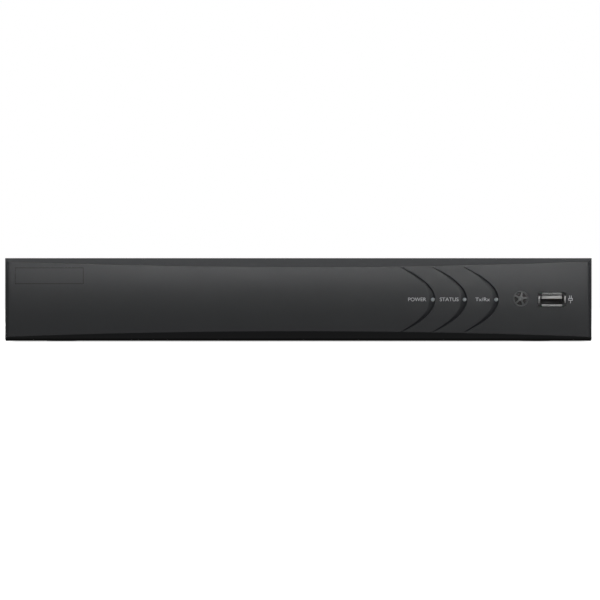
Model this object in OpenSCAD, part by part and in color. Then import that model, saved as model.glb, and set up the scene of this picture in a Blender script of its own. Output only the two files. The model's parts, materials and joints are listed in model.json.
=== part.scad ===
// Slim desktop video recorder: steel tray and slide-off cover, moulded front bezel with three crescent
// grooves, main board with a rear connector row, 40 mm fan and a 3.5 inch hard disk.
// The front faces -Y, +X is to the right seen from the front, +Z is up. The origin is in the middle of
// the footprint, on the surface that the feet stand on.

/* [Case] */
// Width across the front bezel
case_w = 315; // [314:1:318]
// Depth from the middle of the bezel to the rear panel
case_d = 242; // [241:1:246]
// Height of the bezel
bezel_h = 44.5; // [44.5:0.1:45]
// Gap between the shelf and the bezel's lower edge
bezel_lift = 0.5; // [0.3:0.1:0.8]
// Thickness of the sheet steel
sheet = 1; // [0.9:0.1:1]
// Thickness of the rubber feet
foot_h = 2; // [1.8:0.1:2]
// Radius of the rubber feet
foot_r = 9; // [7:0.5:10]

/* [Bezel] */
// How far the middle of the front stands ahead of its ends
bow = 4.2; // [3:0.1:4.5]
// Height of the upper and lower slopes at the middle of the front
slope_h = 4.95; // [4:0.05:5.5]
// How much taller the lower slope is
chin = 0.4; // [0:0.05:0.6]
// Rise of the slopes for each millimetre of depth
slope_ratio = 0.715; // [0.65:0.005:0.8]
// Height of the turned-under edge below the lower slope
heel_h = 1.4; // [1:0.1:1.6]
// Wall of the moulding
bezel_wall = 2; // [1.8:0.1:2.2]
// Radius of the two front upright edges
edge_r = 2.8; // [2:0.1:3.5]
// Distance from the left end to the first lamp
first_lamp = 229.5; // [228:0.5:230]
// Pitch of the lamps and of their crescent grooves
lamp_pitch = 17; // [16.5:0.1:17.2]
// Depth of a crescent groove at its outer edge
groove_depth = 1.1; // [0.5:0.05:1.2]
// Diameter of the remote-control window
window_d = 8.5; // [8:0.1:9]

/* [Rear connectors] */
// Pitch between the two rows of coaxial sockets
bnc_row_pitch = 16; // [15.5:0.1:16]
// Pitch between the columns of coaxial sockets
bnc_pitch = 17; // [16.5:0.1:17]
// How far the coaxial sockets stand out of the rear panel
jack_reach = 10; // [9.5:0.1:10.5]

/* [Fan] */
// Side of the square fan frame
fan_side = 40; // [39:0.5:40]
// Depth of the fan frame
fan_depth = 10; // [10:0.5:11]
// Number of fan blades
fan_blades = 7; // [5:1:9]
// Angle of the blades to the fan's plane
blade_angle = 38; // [30:1:42]

/* [Hard disk] */
// Radius of a platter
platter_r = 47.5; // [46:0.1:47.5]
// Angle of the parked arm, seen from above
park_angle = 96.7; // [95:0.1:98]

/* [Hidden] */
$fn = 48;
eps = 0.01;

// Heights and depths of the case
top_z = bezel_lift + bezel_h;
mid_z = bezel_lift + bezel_h / 2;
y_front = -(case_d + jack_reach) / 2;
y_panel = y_front + case_d;
y_inner = y_panel - sheet;
y_tray = y_front + 16;
tray_x = case_w / 2 - 1.8;
cover_x = case_w / 2 - 0.5;
floor_z = foot_h + sheet;
cover_gap = 0.3;
bow_r = (pow(case_w / 2 - edge_r, 2) + bow * bow) / (2 * bow);
bow_steps = 56;

// Front features, along X from the middle
lamp_x = [for (i = [0:2]) first_lamp - case_w / 2 + i * lamp_pitch];
window_x = lamp_x[2] + 13.2;
window_z = mid_z + 0.5;
front_usb_x = lamp_x[2] + 30;
lamp_r = 1;
groove_lead = 1.45;
groove_w = 3.2;
groove_wall = 0.28;
outer_bend = 0.0595;
inner_bend = 0.053;
usb_w = 13.7;
usb_h = 6.2;
usb_len = 14.8;

// Boards
board_t = 1.6;
board_z = floor_z + 6;
board_top = board_z + board_t;
board_x0 = -138;
board_x1 = 94;
board_y0 = y_tray + 126;
board_y1 = y_inner - 1;
front_board_y = y_tray + 2.5;
front_board_back = front_board_y + board_t;
front_board_x0 = lamp_x[0] - 20;
front_board_x1 = front_usb_x + 14;
board_screw_at = [for (x = [-130, -24, 87], y = [board_y0 + 4, board_y0 + 70]) [x, y]];

// Rear connector row, along X
bnc_x = [for (i = [0:3]) 84 - i * bnc_pitch];
bnc_low_z = board_top + 7.4;
bnc_at = concat(
    [for (x = bnc_x, row = [0, 1]) [x, bnc_low_z + row * bnc_row_pitch]],
    [[bnc_x[3] - bnc_pitch, bnc_low_z]]
);
rca_x = 0;
rca_at = [[rca_x, board_top + 7], [rca_x, board_top + 21]];
vga_x = -24;
vga_z = board_top + 6.8;
vga_pitch = 24.99;
hdmi_x = -49;
hdmi_z = board_top + 3.4;
rear_usb_x = -67;
rear_usb_z = board_top + 3.6;
lan_x = -86;
lan_z = board_top + 6.9;
term_x = -103;
term_z = board_top + 5.5;
lever_pitch = 5.08;
dc_x = -116.5;
dc_z = board_top + 6.5;
switch_x = -131;
switch_z = board_top + 9;
rocker_tilt = 7;
rocker_pivot_y = y_panel - 1.5;
ground_at = [-147, floor_z + 9];
tab_x = [101, bnc_x[3] - bnc_pitch, -147];
tab_w = 10;
tab_screw_z = top_z - 5.5;

// Fan
fan_x = 128;
fan_z = floor_z + 0.5 + fan_side / 2;
fan_bore_r = fan_side / 2 - 1.3;
fan_hole = fan_side / 2 - 4;
hub_r = 9.5;

// Hard disk, 3.5 inch
disk = [147, 101.6, 26.1];
disk_x1 = 12;
disk_x0 = disk_x1 - disk[0];
disk_y0 = y_tray + 10;
disk_y1 = disk_y0 + disk[1];
disk_z = floor_z + 3;
disk_lid_t = 0.8;
disk_top = disk_z + disk[2];
disk_floor = disk_z + 4;
spindle = [disk_x0 + 51, (disk_y0 + disk_y1) / 2];
pivot = [spindle[0] + 50, spindle[1] - 25];
disk_hole_x = [disk_x1 - 41.28, disk_x1 - 85.73];
disk_hole_y = [disk_y0 + 3.18, disk_y1 - 3.18];
platter_z = [disk_floor + 5, disk_floor + 9.5];
arm_z = [disk_floor + 3.2, disk_floor + 7.3, disk_floor + 11.6];
sata_y = disk_y0 + 58;

// ---------- shared shapes ----------

// A flat box given by its corners
module span(a, b) {
    translate(a) cube([b[0] - a[0], b[1] - a[1], b[2] - a[2]]);
}

// A rectangle with round corners, in the plane
module round_rect(w, h, r) {
    square([w - 2 * r, h], center = true);
    square([w, h - 2 * r], center = true);
    for (x = [-1, 1], y = [-1, 1]) translate([x * (w / 2 - r), y * (h / 2 - r)]) circle(r);
}

// A slot with round ends, in the plane, along X
module slot_shape(length, width) {
    square([length - width, width], center = true);
    for (x = [-1, 1]) translate([x * (length - width) / 2, 0]) circle(width / 2);
}

// Extrudes an XZ outline along Y, from y0 to y1
module along_y(y0, y1) {
    translate([0, y1, 0]) rotate([90, 0, 0]) linear_extrude(y1 - y0) children();
}

// Extrudes a YZ outline along X, from x0 to x1
module along_x(x0, x1) {
    translate([x0, 0, 0]) rotate([90, 0, 90]) linear_extrude(x1 - x0) children();
}

// A round bar along Y, from y0 to y1
module bar_y(x, z, r, y0, y1) {
    translate([x, y0, z]) rotate([-90, 0, 0]) cylinder(h = y1 - y0, r = r);
}

// A round post along Z, from z0 to z1
module post(at, r, z0, z1) {
    translate([at[0], at[1], z0]) cylinder(h = z1 - z0, r = r);
}

// A pan-head screw along +Y's opposite: its head rests on y = 0 and its shank runs to -Y
module screw_back(head_r, head_h, shank_r, shank_l) {
    difference() {
        union() {
            bar_y(0, 0, head_r, 0, head_h * 0.6);
            translate([0, head_h * 0.6, 0]) rotate([-90, 0, 0])
                cylinder(h = head_h * 0.4, r1 = head_r, r2 = head_r * 0.72);
            bar_y(0, 0, shank_r, -shank_l, eps);
        }
        for (a = [0, 90]) rotate([0, a, 0])
            translate([-head_r * 0.55, head_h * 0.45, -head_r * 0.1])
                cube([head_r * 1.1, head_h, head_r * 0.2]);
    }
}

// A flat strip along a route in the plane: the outline at a half width on each side of its points
function unit(v) = v / norm(v);
function turned(v) = [-v[1], v[0]];
function heading(p, i) = unit(p[min(i + 1, len(p) - 1)] - p[max(i - 1, 0)]);
function strip(p, half) = concat(
    [for (i = [0:len(p) - 1]) p[i] + turned(heading(p, i)) * half],
    [for (i = [len(p) - 1:-1:0]) p[i] - turned(heading(p, i)) * half]
);

// Points on an arc in the plane
function arc(centre, r, from, to, steps) =
    [for (i = [0:steps]) let (a = from + (to - from) * i / steps) centre + r * [cos(a), sin(a)]];

// ---------- case ----------

function face_y(x) = y_front + bow_r - sqrt(bow_r * bow_r - x * x);

// Plan outline of the bezel, moved in by inset: straight ends, round upright edges and a bowed front
function bezel_plan(inset, y_back) = let (
    r = edge_r,
    xe = case_w / 2 - inset,
    xf = case_w / 2 - r,
    yf = face_y(xf) + inset
) concat(
    [[-xe, y_back]],
    [for (i = [0:6]) let (a = 90 * i / 6) [-xf - (r - inset) * cos(a), yf + (r - inset) * (1 - sin(a))]],
    [for (i = [1:bow_steps - 1]) let (x = xf * (2 * i / bow_steps - 1)) [x, face_y(x) + inset]],
    [for (i = [6:-1:0]) let (a = 90 * i / 6) [xf + (r - inset) * cos(a), yf + (r - inset) * (1 - sin(a))]],
    [[xe, y_back]]
);

// Side outline of the bezel: flat top and bottom, a slope down to the front above, and below it a slope
// whose lower edge turns under
heel_run = 6;
function bezel_side(inset, y_back) = let (
    y0 = y_front - 0.7 + inset,
    hi = top_z - inset,
    lo = bezel_lift + inset,
    fall = slope_h + 0.5,
    rise = fall + chin,
    y_heel = y0 + (rise - heel_h) / slope_ratio
) [[y_back, lo], [y_heel + heel_run, lo], [y_heel, lo + heel_h], [y0, lo + rise],
   [y0, hi - fall], [y0 + fall / slope_ratio, hi], [y_back, hi]];

module bezel_block(inset, y_back) {
    intersection() {
        linear_extrude(top_z + 1) polygon(bezel_plan(inset, y_back));
        along_x(-case_w, case_w) polygon(bezel_side(inset, y_back));
    }
}

// One crescent groove: two parabolas meet the slopes, and the floor falls towards the outer one
groove_steps = 28;
groove_half = bezel_h / 2 - 4.9;
function groove_ring(x0, i) = let (
    dz = groove_half * (2 * i / groove_steps - 1),
    fade = 1 - 0.75 * pow(abs(dz) / groove_half, 2),
    xo = x0 + groove_lead - outer_bend * dz * dz,
    xi = x0 + groove_lead - groove_w - inner_bend * dz * dz,
    yo = face_y(xo),
    yi = face_y(xi),
    xm = xo - groove_wall * (xo - xi),
    depth = groove_depth * fade
) [[xi, yi - 1, mid_z + dz], [xi, yi - eps, mid_z + dz], [xm, yo + depth, mid_z + dz],
   [xo, yo - eps, mid_z + dz], [xo, yo - 1, mid_z + dz]];

module groove(x0) {
    rings = [for (i = [0:groove_steps]) groove_ring(x0, i)];
    sides = 5;
    last = groove_steps * sides;
    polyhedron(
        points = [for (ring = rings) each ring],
        faces = concat(
            [[for (k = [sides - 1:-1:0]) k]],
            [for (i = [0:groove_steps - 1], k = [0:sides - 1]) let (
                a = i * sides + k,
                b = i * sides + (k + 1) % sides
            ) each [[a, b, b + sides], [a, b + sides, a + sides]]],
            [[for (k = [0:sides - 1]) last + k]]
        )
    );
}

module front_bezel() color([0.13, 0.13, 0.14]) difference() {
    union() {
        difference() {
            bezel_block(0, y_tray);
            bezel_block(bezel_wall, y_tray + 1);
        }
        // lip that the cover's front edge lies on
        span([-150, y_tray - 4, top_z - 2.2], [150, y_tray + 6, top_z - sheet - cover_gap]);
        // bosses behind the lamps and the window
        for (x = lamp_x) bar_y(x, mid_z, 2.4, face_y(x) + 1.2, face_y(x) + 5);
        difference() {
            bar_y(window_x, window_z, window_d / 2 + 1.6, face_y(window_x) + 1, face_y(window_x) + 5.5);
            bar_y(window_x, window_z, window_d / 2 - 1, face_y(window_x) + 2, face_y(window_x) + 6);
        }
        // stiffening ribs behind the plain part of the front, and snap posts at its ends
        intersection() {
            bezel_block(bezel_wall / 2, y_tray);
            union() {
                for (x = [-120:40:40]) span([x, y_front, 0], [x + 1.5, y_tray - 3, top_z]);
                for (s = [-1, 1]) span([s * 154.5 - 3, y_tray - 6, 12], [s * 154.5 + 3, y_tray, 32]);
            }
        }
    }
    for (x = lamp_x) {
        groove(x);
        bar_y(x, mid_z, lamp_r + 0.05, face_y(x) - 2, face_y(x) + 8);
    }
    bar_y(window_x, window_z, window_d / 2, y_front - 1, face_y(window_x) + 2.4);
    bar_y(window_x, window_z, window_d / 2 - 1.2, y_front, face_y(window_x) + 8);
    translate([front_usb_x, 0, mid_z]) along_y(y_front - 1, y_front + 8) polygon(usb_aperture(0.95));
    // shallow recess for a blank badge, which follows the bow of the face
    difference() {
        badge_at = [-case_w / 2 + 23.9, top_z - 9.5];
        span([badge_at[0] - 18.6, y_front - 1, badge_at[1] - 4.5],
             [badge_at[0] + 18.6, y_front + 6, badge_at[1] + 4.5]);
        bezel_block(0.35, y_tray);
    }
}

// Outline of the opening round a USB mouth, with cut corners
function usb_aperture(gap) = let (
    x = usb_w / 2 + gap,
    z = usb_h / 2 + gap,
    c = 1.1
) [[-x, -z + c], [-x + c, -z], [x - c, -z], [x, -z + c], [x, z - c], [x - c, z], [-x + c, z], [-x, z - c]];

module tray_floor() {
    difference() {
        span([-tray_x, y_tray, foot_h], [tray_x, y_panel, floor_z]);
        // vents under the boards and the disk
        for (i = [0:11], j = [0, 1]) translate([-96 + i * 9 + j * 110, 62 - j * 134, foot_h - 1])
            linear_extrude(sheet + 2) rotate(90) slot_shape(22, 3);
        for (x = disk_hole_x, y = disk_hole_y) post([x, y], 5, foot_h - 1, floor_z + 1);
    }
    // pressed pockets that carry the disk, open below for the screw heads
    for (x = disk_hole_x, y = disk_hole_y) difference() {
        post([x, y], 6, foot_h, disk_z);
        post([x, y], 5, foot_h - 1, disk_z - sheet);
        post([x, y], 1.9, foot_h, disk_z + 1);
    }
    for (at = board_screw_at) difference() {
        post(at, 3, foot_h + eps, board_z);
        post(at, 1.55, foot_h + 1.5, board_z + 1);
    }
}

module rear_cutouts() {
    for (at = bnc_at) bar_y(at[0], at[1], 6.5, y_inner - 1, y_panel + 1);
    for (at = rca_at) bar_y(at[0], at[1], 5, y_inner - 1, y_panel + 1);
    translate([vga_x, 0, vga_z]) along_y(y_inner - 1, y_panel + 1) polygon(vga_outline(0.4));
    for (s = [-1, 1]) bar_y(vga_x + s * vga_pitch / 2, vga_z, 1.8, y_inner - 1, y_panel + 1);
    translate([hdmi_x, 0, hdmi_z]) along_y(y_inner - 1, y_panel + 1) polygon(hdmi_outline(0.4));
    translate([rear_usb_x, 0, rear_usb_z]) along_y(y_inner - 1, y_panel + 1) polygon(usb_aperture(0.95));
    translate([lan_x, 0, lan_z]) along_y(y_inner - 1, y_panel + 1) square([16.6, 14.1], center = true);
    translate([term_x, 0, term_z]) along_y(y_inner - 1, y_panel + 1) square([12.4, 11.6], center = true);
    translate([dc_x, 0, board_top + 5.5]) along_y(y_inner - 1, y_panel + 1)
        square([9.6, 11.6], center = true);
    translate([switch_x, 0, switch_z]) along_y(y_inner - 1, y_panel + 1) square([11, 16.6], center = true);
    bar_y(ground_at[0], ground_at[1], 2.1, y_inner - 1, y_panel + 1);
    for (x = tab_x) bar_y(x, tab_screw_z, 1.55, y_inner - 1, y_panel + 1);
    // fan grille: three rings of slots between four spokes
    translate([fan_x, 0, fan_z]) along_y(y_inner - 1, y_panel + 1) difference() {
        union() for (r = [6, 10.5, 15]) difference() {
            circle(r + 3);
            circle(r);
        }
        for (a = [45, 135]) rotate(a) square([60, 2], center = true);
    }
    for (x = [-1, 1], z = [-1, 1])
        bar_y(fan_x + x * fan_hole, fan_z + z * fan_hole, 1.8, y_inner - 1, y_panel + 1);
    // vents above the low connectors
    for (i = [0:13], j = [0, 1]) if (abs(vga_x - 12 - i * 7.2 - tab_x[2]) > 8)
        translate([vga_x - 12 - i * 7.2 + 20, 0, top_z - 14 + j * 5.2]) along_y(y_inner - 1, y_panel + 1)
            slot_shape(5.4, 2.4);
}

module chassis_tray() color([0.3, 0.3, 0.31]) {
    tray_floor();
    for (s = [-1, 1]) span([min(s * tray_x, s * (tray_x - sheet)), y_tray, foot_h],
                           [max(s * tray_x, s * (tray_x - sheet)), y_panel, foot_h + 12]);
    difference() {
        union() {
            span([-tray_x, y_tray, foot_h], [tray_x, y_tray + sheet, top_z - 2.5]);
            for (at = front_screw_at) bar_y(at[0], at[1], 2.5, y_tray + sheet - eps, front_board_y);
        }
        // windows for the lamps, the receiver and the USB socket
        span([lamp_x[0] - 3, y_tray - 1, mid_z - 3.5], [lamp_x[2] + 3, y_tray + 3, mid_z + 3.5]);
        span([window_x - 4.4, y_tray - 1, window_z - 5], [window_x + 4.4, y_tray + 3, window_z + 5]);
        span([front_usb_x - 7.4, y_tray - 1, mid_z - 3.7], [front_usb_x + 7.4, y_tray + 3, mid_z + 3.7]);
        for (at = front_screw_at) bar_y(at[0], at[1], 1.55, y_tray - 1, y_tray + 4);
        for (x = [-130:20:40]) translate([x, 0, mid_z + 6]) along_y(y_tray - 1, y_tray + 2) slot_shape(12, 4);
    }
    difference() {
        span([-tray_x, y_inner, foot_h], [tray_x, y_panel, top_z - sheet - cover_gap]);
        rear_cutouts();
    }
}

module top_cover() color([0.16, 0.16, 0.17]) difference() {
    union() {
        span([-cover_x, y_tray + 0.2, top_z - sheet], [cover_x, y_panel + 0.1, top_z]);
        for (s = [-1, 1]) span([min(s * cover_x, s * (cover_x - sheet)), y_tray + 0.2, foot_h],
                               [max(s * cover_x, s * (cover_x - sheet)), y_panel, top_z]);
        for (x = tab_x)
            span([x - tab_w / 2, y_panel + 0.1, top_z - 9.5], [x + tab_w / 2, y_panel + 1.1, top_z]);
    }
    for (x = tab_x) bar_y(x, tab_screw_z, 1.7, y_panel - 1, y_panel + 2);
    // upright vent slots in both sides
    for (s = [-1, 1], row = [0, 1], i = [0:12])
        along_x(s * cover_x - 2, s * cover_x + 2)
            translate([-86 + row * 100 + i * 5.5, mid_z]) rotate(90) slot_shape(18, 2.6);
}

module cover_screws() color([0.1, 0.1, 0.1]) for (x = tab_x)
    translate([x, y_panel + 1.1, tab_screw_z]) screw_back(2.9, 2, 1.5, 5.5);

module rubber_feet() color([0.06, 0.06, 0.06]) for (x = [-1, 1], y = [-76, 88])
    translate([x * 130, y, 0]) cylinder(h = foot_h, r1 = foot_r - 0.6, r2 = foot_r);

module ground_screw() color([0.75, 0.76, 0.78]) translate([ground_at[0], y_panel, ground_at[1]]) {
    difference() {
        bar_y(0, 0, 4.6, 0, 0.8);
        bar_y(0, 0, 2, -1, 2);
    }
    translate([0, 0.8, 0]) screw_back(3.8, 2.4, 2, 7);
    difference() {
        translate([0, -sheet - 3, 0]) rotate([-90, 30, 0]) cylinder(h = 3, r = 4, $fn = 6);
        bar_y(0, 0, 2, -6, 0);
    }
}

// ---------- front electronics ----------

front_screw_at = [for (x = [front_board_x0 + 4, front_board_x1 - 4], z = [-1, 1]) [x, mid_z + z * 10.5]];

module light_pipe(i) color([0.9, 0.92, 0.92]) {
    x = lamp_x[i];
    bar_y(x, mid_z, lamp_r, face_y(x) + 0.35, y_tray - 2);
    bar_y(x, mid_z, 1.8, face_y(x) + 5.2, y_tray - 2);
}

// Domed window: five pockets between the spokes of a wheel, and a dimpled hub
spoke_angle = 79;
spoke_w = 0.8;
hub_window_r = 1.35;
module ir_window() color([0.09, 0.08, 0.09]) translate([window_x, face_y(window_x), window_z]) {
    r = window_d / 2 - 0.05;
    difference() {
        union() {
            bar_y(0, 0, r, 0.9, 2.4);
            bar_y(0, 0, window_d / 2 - 1.3, 2.4, 4.5);
            intersection() {
                translate([0, 8.2, 0]) sphere(8.3, $fn = 72);
                bar_y(0, 0, r, -1, 1);
            }
        }
        along_y(-1, 1.35) difference() {
            circle(r - 0.7);
            circle(hub_window_r);
            for (i = [0:4]) rotate(spoke_angle + 72 * i) translate([0, -spoke_w / 2]) square([r, spoke_w]);
        }
        translate([0, -0.5, 0]) sphere(0.8);
    }
}

module front_board() color([0.05, 0.3, 0.15]) difference() {
    span([front_board_x0, front_board_y, mid_z - 14], [front_board_x1, front_board_y + board_t, mid_z + 14]);
    for (at = front_screw_at) bar_y(at[0], at[1], 1.7, front_board_y - 1, front_board_y + 3);
}

module indicator_leds() color([0.85, 0.85, 0.8]) for (x = lamp_x) {
    bar_y(x, mid_z, 1.5, y_tray - 0.4, front_board_y);
    translate([x, y_tray - 0.4, mid_z]) sphere(1.5);
    bar_y(x, mid_z, 1.8, front_board_y - 1, front_board_y);
}

module ir_receiver() color([0.12, 0.11, 0.13]) {
    span([window_x - 3.2, front_board_y - 3.4, window_z - 3.6],
         [window_x + 3.2, front_board_y, window_z + 3.6]);
    translate([window_x, front_board_y - 3.4, window_z]) sphere(2.4);
}

// A USB-A receptacle shell with its mouth at y = 0, facing -Y
module usb_shell() {
    wall = 0.4;
    difference() {
        translate([-usb_w / 2, 0, -usb_h / 2]) cube([usb_w, usb_len, usb_h]);
        translate([-usb_w / 2 + wall, -1, -usb_h / 2 + wall])
            cube([usb_w - 2 * wall, usb_len + 1 - wall, usb_h - 2 * wall]);
        // slots at the mouth's corners, between its four sprung lips
        for (x = [-1, 1], z = [-1, 1]) translate([x * usb_w / 2, 0, z * usb_h / 2])
            cube([2.9, 2.8, 2.4], center = true);
    }
    flare = [[0.6, -wall], [0.6, 0], [-0.5, 0.5], [-0.5, 0.1]];
    for (s = [0, 180]) rotate([0, s, 0]) {
        translate([0, 0, usb_h / 2]) along_x(-5.3, 5.3) polygon(flare);
        translate([usb_w / 2, 0, 0]) rotate([0, 90, 0]) along_x(-1.9, 1.9) polygon(flare);
    }
}

// Its plastic: a rear block and the tongue, near the upper wall
module usb_insulator() {
    span([-usb_w / 2 + 0.4, 12, -usb_h / 2 + 0.4], [usb_w / 2 - 0.4, usb_len - 0.4, usb_h / 2 - 0.4]);
    span([-5.5, 1.4, 0.4], [5.5, 12 + eps, 2.1]);
}

module at_both_usb_sockets() {
    translate([front_usb_x, front_board_y - usb_len, mid_z]) children();
    translate([rear_usb_x, y_panel + 0.6, rear_usb_z]) rotate([0, 0, 180]) children();
}

module usb_shells() color([0.75, 0.76, 0.78]) at_both_usb_sockets() usb_shell();

module usb_insulators() color([0.85, 0.85, 0.85]) at_both_usb_sockets() usb_insulator();

// ---------- main board ----------

module mainboard() color([0.04, 0.28, 0.14]) difference() {
    span([board_x0, board_y0, board_z], [board_x1, board_y1, board_top]);
    for (at = board_screw_at) post(at, 1.7, board_z - 1, board_top + 1);
}

module board_screws() color([0.78, 0.78, 0.76]) {
    for (at = board_screw_at) translate([at[0], at[1], board_top]) rotate([90, 0, 0])
        screw_back(2.8, 1.9, 1.5, 5.5);
    for (at = front_screw_at) translate([at[0], front_board_back, at[1]])
        screw_back(2.8, 1.9, 1.5, 4);
}

chip_z = board_top;
processor_at = [10, board_y0 + 42];

module chip(at, size) {
    translate([at[0] - size[0] / 2, at[1] - size[1] / 2, chip_z]) cube(size);
}

module processor() color([0.08, 0.08, 0.09]) {
    chip(processor_at, [23, 23, 1]);
    chip(processor_at, [18, 18, 2.2]);
}

heatsink_w = 40;
fin_t = 1.1;
module heatsink() color([0.2, 0.2, 0.21])
    translate([processor_at[0] - heatsink_w / 2, processor_at[1] - heatsink_w / 2, chip_z + 2.2]) {
        cube([heatsink_w, heatsink_w, 2.5]);
        for (i = [0:9]) translate([i * (heatsink_w - fin_t) / 9, 0, 2.5 - eps]) cube([fin_t, heatsink_w, 9]);
    }

module board_chips() color([0.1, 0.1, 0.11]) {
    for (i = [0, 1]) chip([-22, board_y0 + 34 + i * 15], [9, 13, 1.1]);
    chip([-40, board_y0 + 66], [14, 14, 1.4]);
    for (x = [40, 66]) chip([x, board_y0 + 62], [14, 14, 1.4]);
    chip([-86, board_y0 + 62], [9, 9, 1]);
    chip([-4, board_y0 + 74], [7, 7, 0.9]);
    chip([60, board_y0 + 36], [10, 6, 1.6]);
    chip([-112, board_y0 + 24], [5, 4, 1.5]);
}

cap_at = [[-116, 58], [-106, 58], [-124, 58], [-118, 40], [-70, 60], [34, 36]];
module capacitors() color([0.12, 0.12, 0.14]) for (i = [0:5]) {
    big = i < 3;
    post([cap_at[i][0], board_y0 + cap_at[i][1]], big ? 4 : 3.15, board_top, board_top + (big ? 11.5 : 7.7));
}

inductor_at = [[-98, 44], [-84, 44], [-104, 24]];
module inductors() color([0.18, 0.18, 0.19]) for (at = inductor_at)
    translate([at[0], board_y0 + at[1], board_top]) {
        translate([-5, -5, 0]) cube([10, 10, 0.6]);
        translate([0, 0, 0.6 - eps]) linear_extrude(3.6) round_rect(10, 10, 2);
    }

battery_at = [-58, board_y0 + 26];
module battery_holder() color([0.1, 0.1, 0.1]) difference() {
    union() {
        post(battery_at, 12, board_top, board_top + 4.4);
        translate([battery_at[0], battery_at[1] - 5, board_top]) cube([15, 10, 3]);
    }
    post(battery_at, 10.1, board_top + 1, board_top + 6);
}

module rtc_battery() color([0.8, 0.8, 0.8]) post(battery_at, 10, board_top + 1, board_top + 4.2);

buzzer_at = [-84, board_y0 + 22];
module buzzer() color([0.05, 0.05, 0.05]) difference() {
    post(buzzer_at, 6, board_top, board_top + 8.5);
    post(buzzer_at, 1, board_top + 5, board_top + 9);
}

// Headers: SATA, disk power, fan and front panel, each an open-topped or open-fronted box
data_x = 38;
power_x = 55;
ribbon_x = 79;
fan_header_at = [88, board_y0 + 46];
module board_headers() color([0.92, 0.9, 0.82]) {
    for (x = [data_x - 16, data_x]) difference() {
        translate([x - 7, board_y0 + 3, board_top]) cube([14, 10, 8]);
        translate([x - 5.2, board_y0 + 2, board_top + 1.6]) cube([10.4, 7, 4.8]);
    }
    difference() {
        translate([power_x - 6.3, board_y0 + 3, board_top]) cube([12.6, 8, 9]);
        translate([power_x - 5.3, board_y0 + 2, board_top + 1.2]) cube([10.6, 7, 6.6]);
    }
    difference() {
        translate([fan_header_at[0] - 4, fan_header_at[1] - 3, board_top]) cube([8, 6, 7]);
        translate([fan_header_at[0] - 3.2, fan_header_at[1] - 2.2, board_top + 1]) cube([6.4, 4.4, 8]);
    }
    difference() {
        translate([ribbon_x - 13, board_y0 + 8, board_top]) cube([26, 9, 9]);
        translate([ribbon_x - 10.6, board_y0 + 9.4, board_top + 1.4]) cube([21.2, 6.2, 9]);
    }
    difference() {
        span([ribbon_x - 13, front_board_back, mid_z - 10], [ribbon_x + 13, front_board_back + 9, mid_z - 1]);
        span([ribbon_x - 10.6, front_board_back + 1.4, mid_z - 8.6],
             [ribbon_x + 10.6, front_board_back + 12, mid_z - 2.4]);
    }
}

// ---------- rear connectors ----------

module bnc_housings() color([0.08, 0.08, 0.08]) {
    for (x = bnc_x) bnc_housing(x, bnc_low_z + bnc_row_pitch + 7);
    bnc_housing(bnc_x[3] - bnc_pitch, bnc_low_z + 7);
}

module bnc_housing(x, z1) difference() {
    span([x - 7.4, y_inner - 14, board_top], [x + 7.4, y_inner, z1]);
    for (at = bnc_at) if (at[0] == x) bar_y(x, at[1], 6.25, y_inner - 4, y_inner + 1);
}

module bnc_shells() color([0.78, 0.78, 0.76]) for (at = bnc_at) translate([at[0], y_panel, at[1]]) {
    difference() {
        union() {
            bar_y(0, 0, 6.2, -sheet - 4, 1.8);
            bar_y(0, 0, 4.8, 1, jack_reach);
            bar_y(0, 0, 5.3, 1.8, 3);
            // two bayonet studs
            for (s = [-1, 1]) translate([s * 4.4, jack_reach - 4.6, 0])
                rotate([0, s * 90, 0]) cylinder(h = 1.3, r = 1);
        }
        bar_y(0, 0, 4.05, 0.5, jack_reach + 1);
        bar_y(0, 0, 2.45, -6, 1);
    }
}

module bnc_insulators() color([0.95, 0.95, 0.93]) for (at = bnc_at)
    translate([at[0], y_panel, at[1]]) difference() {
        bar_y(0, 0, 2.4, -sheet - 4, jack_reach - 1.5);
        bar_y(0, 0, 1.05, -2, jack_reach);
    }

module bnc_contacts() color([0.85, 0.68, 0.3]) for (at = bnc_at)
    translate([at[0], y_panel, at[1]]) difference() {
        bar_y(0, 0, 1, -2, jack_reach - 2);
        bar_y(0, 0, 0.5, 2, jack_reach);
    }

module rca_housing() color([0.08, 0.08, 0.08]) difference() {
    span([rca_x - 5.8, y_inner - 13, board_top], [rca_x + 5.8, y_inner, board_top + 27.5]);
    for (at = rca_at) bar_y(at[0], at[1], 4.2, y_inner - 3, y_inner + 1);
}

module rca_shells() color([0.78, 0.78, 0.76]) for (at = rca_at) difference() {
    union() {
        bar_y(at[0], at[1], 4.15, y_panel + 1.6, y_panel + 9);
        bar_y(at[0], at[1], 3.9, y_inner - 3, y_panel + 1.6 + eps);
    }
    bar_y(at[0], at[1], 3.65, y_inner - 4, y_panel + 10);
}

module rca_inserts() for (i = [0, 1]) color(i == 0 ? [0.8, 0.1, 0.1] : [0.9, 0.9, 0.9]) difference() {
    union() {
        bar_y(rca_at[i][0], rca_at[i][1], 3.6, y_inner - 3, y_panel + 8.4);
        difference() {
            bar_y(rca_at[i][0], rca_at[i][1], 4.9, y_inner + 0.1, y_panel + 1.4);
            bar_y(rca_at[i][0], rca_at[i][1], 4.2, y_inner - 1, y_panel + 2);
        }
    }
    bar_y(rca_at[i][0], rca_at[i][1], 1.65, y_inner, y_panel + 10);
}

// D-shaped outline, seen from the front: wide side up
function vga_outline(gap) = let (
    x = 8.2 + gap,
    z = 4.15 + gap,
    slant = 1.4,
    c = 1.2
) [[-x + slant + c, -z], [x - slant - c, -z], [x - slant, -z + c], [x, z - c], [x - c, z], [-x + c, z],
   [-x, z - c], [-x + slant, -z + c]];

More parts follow.
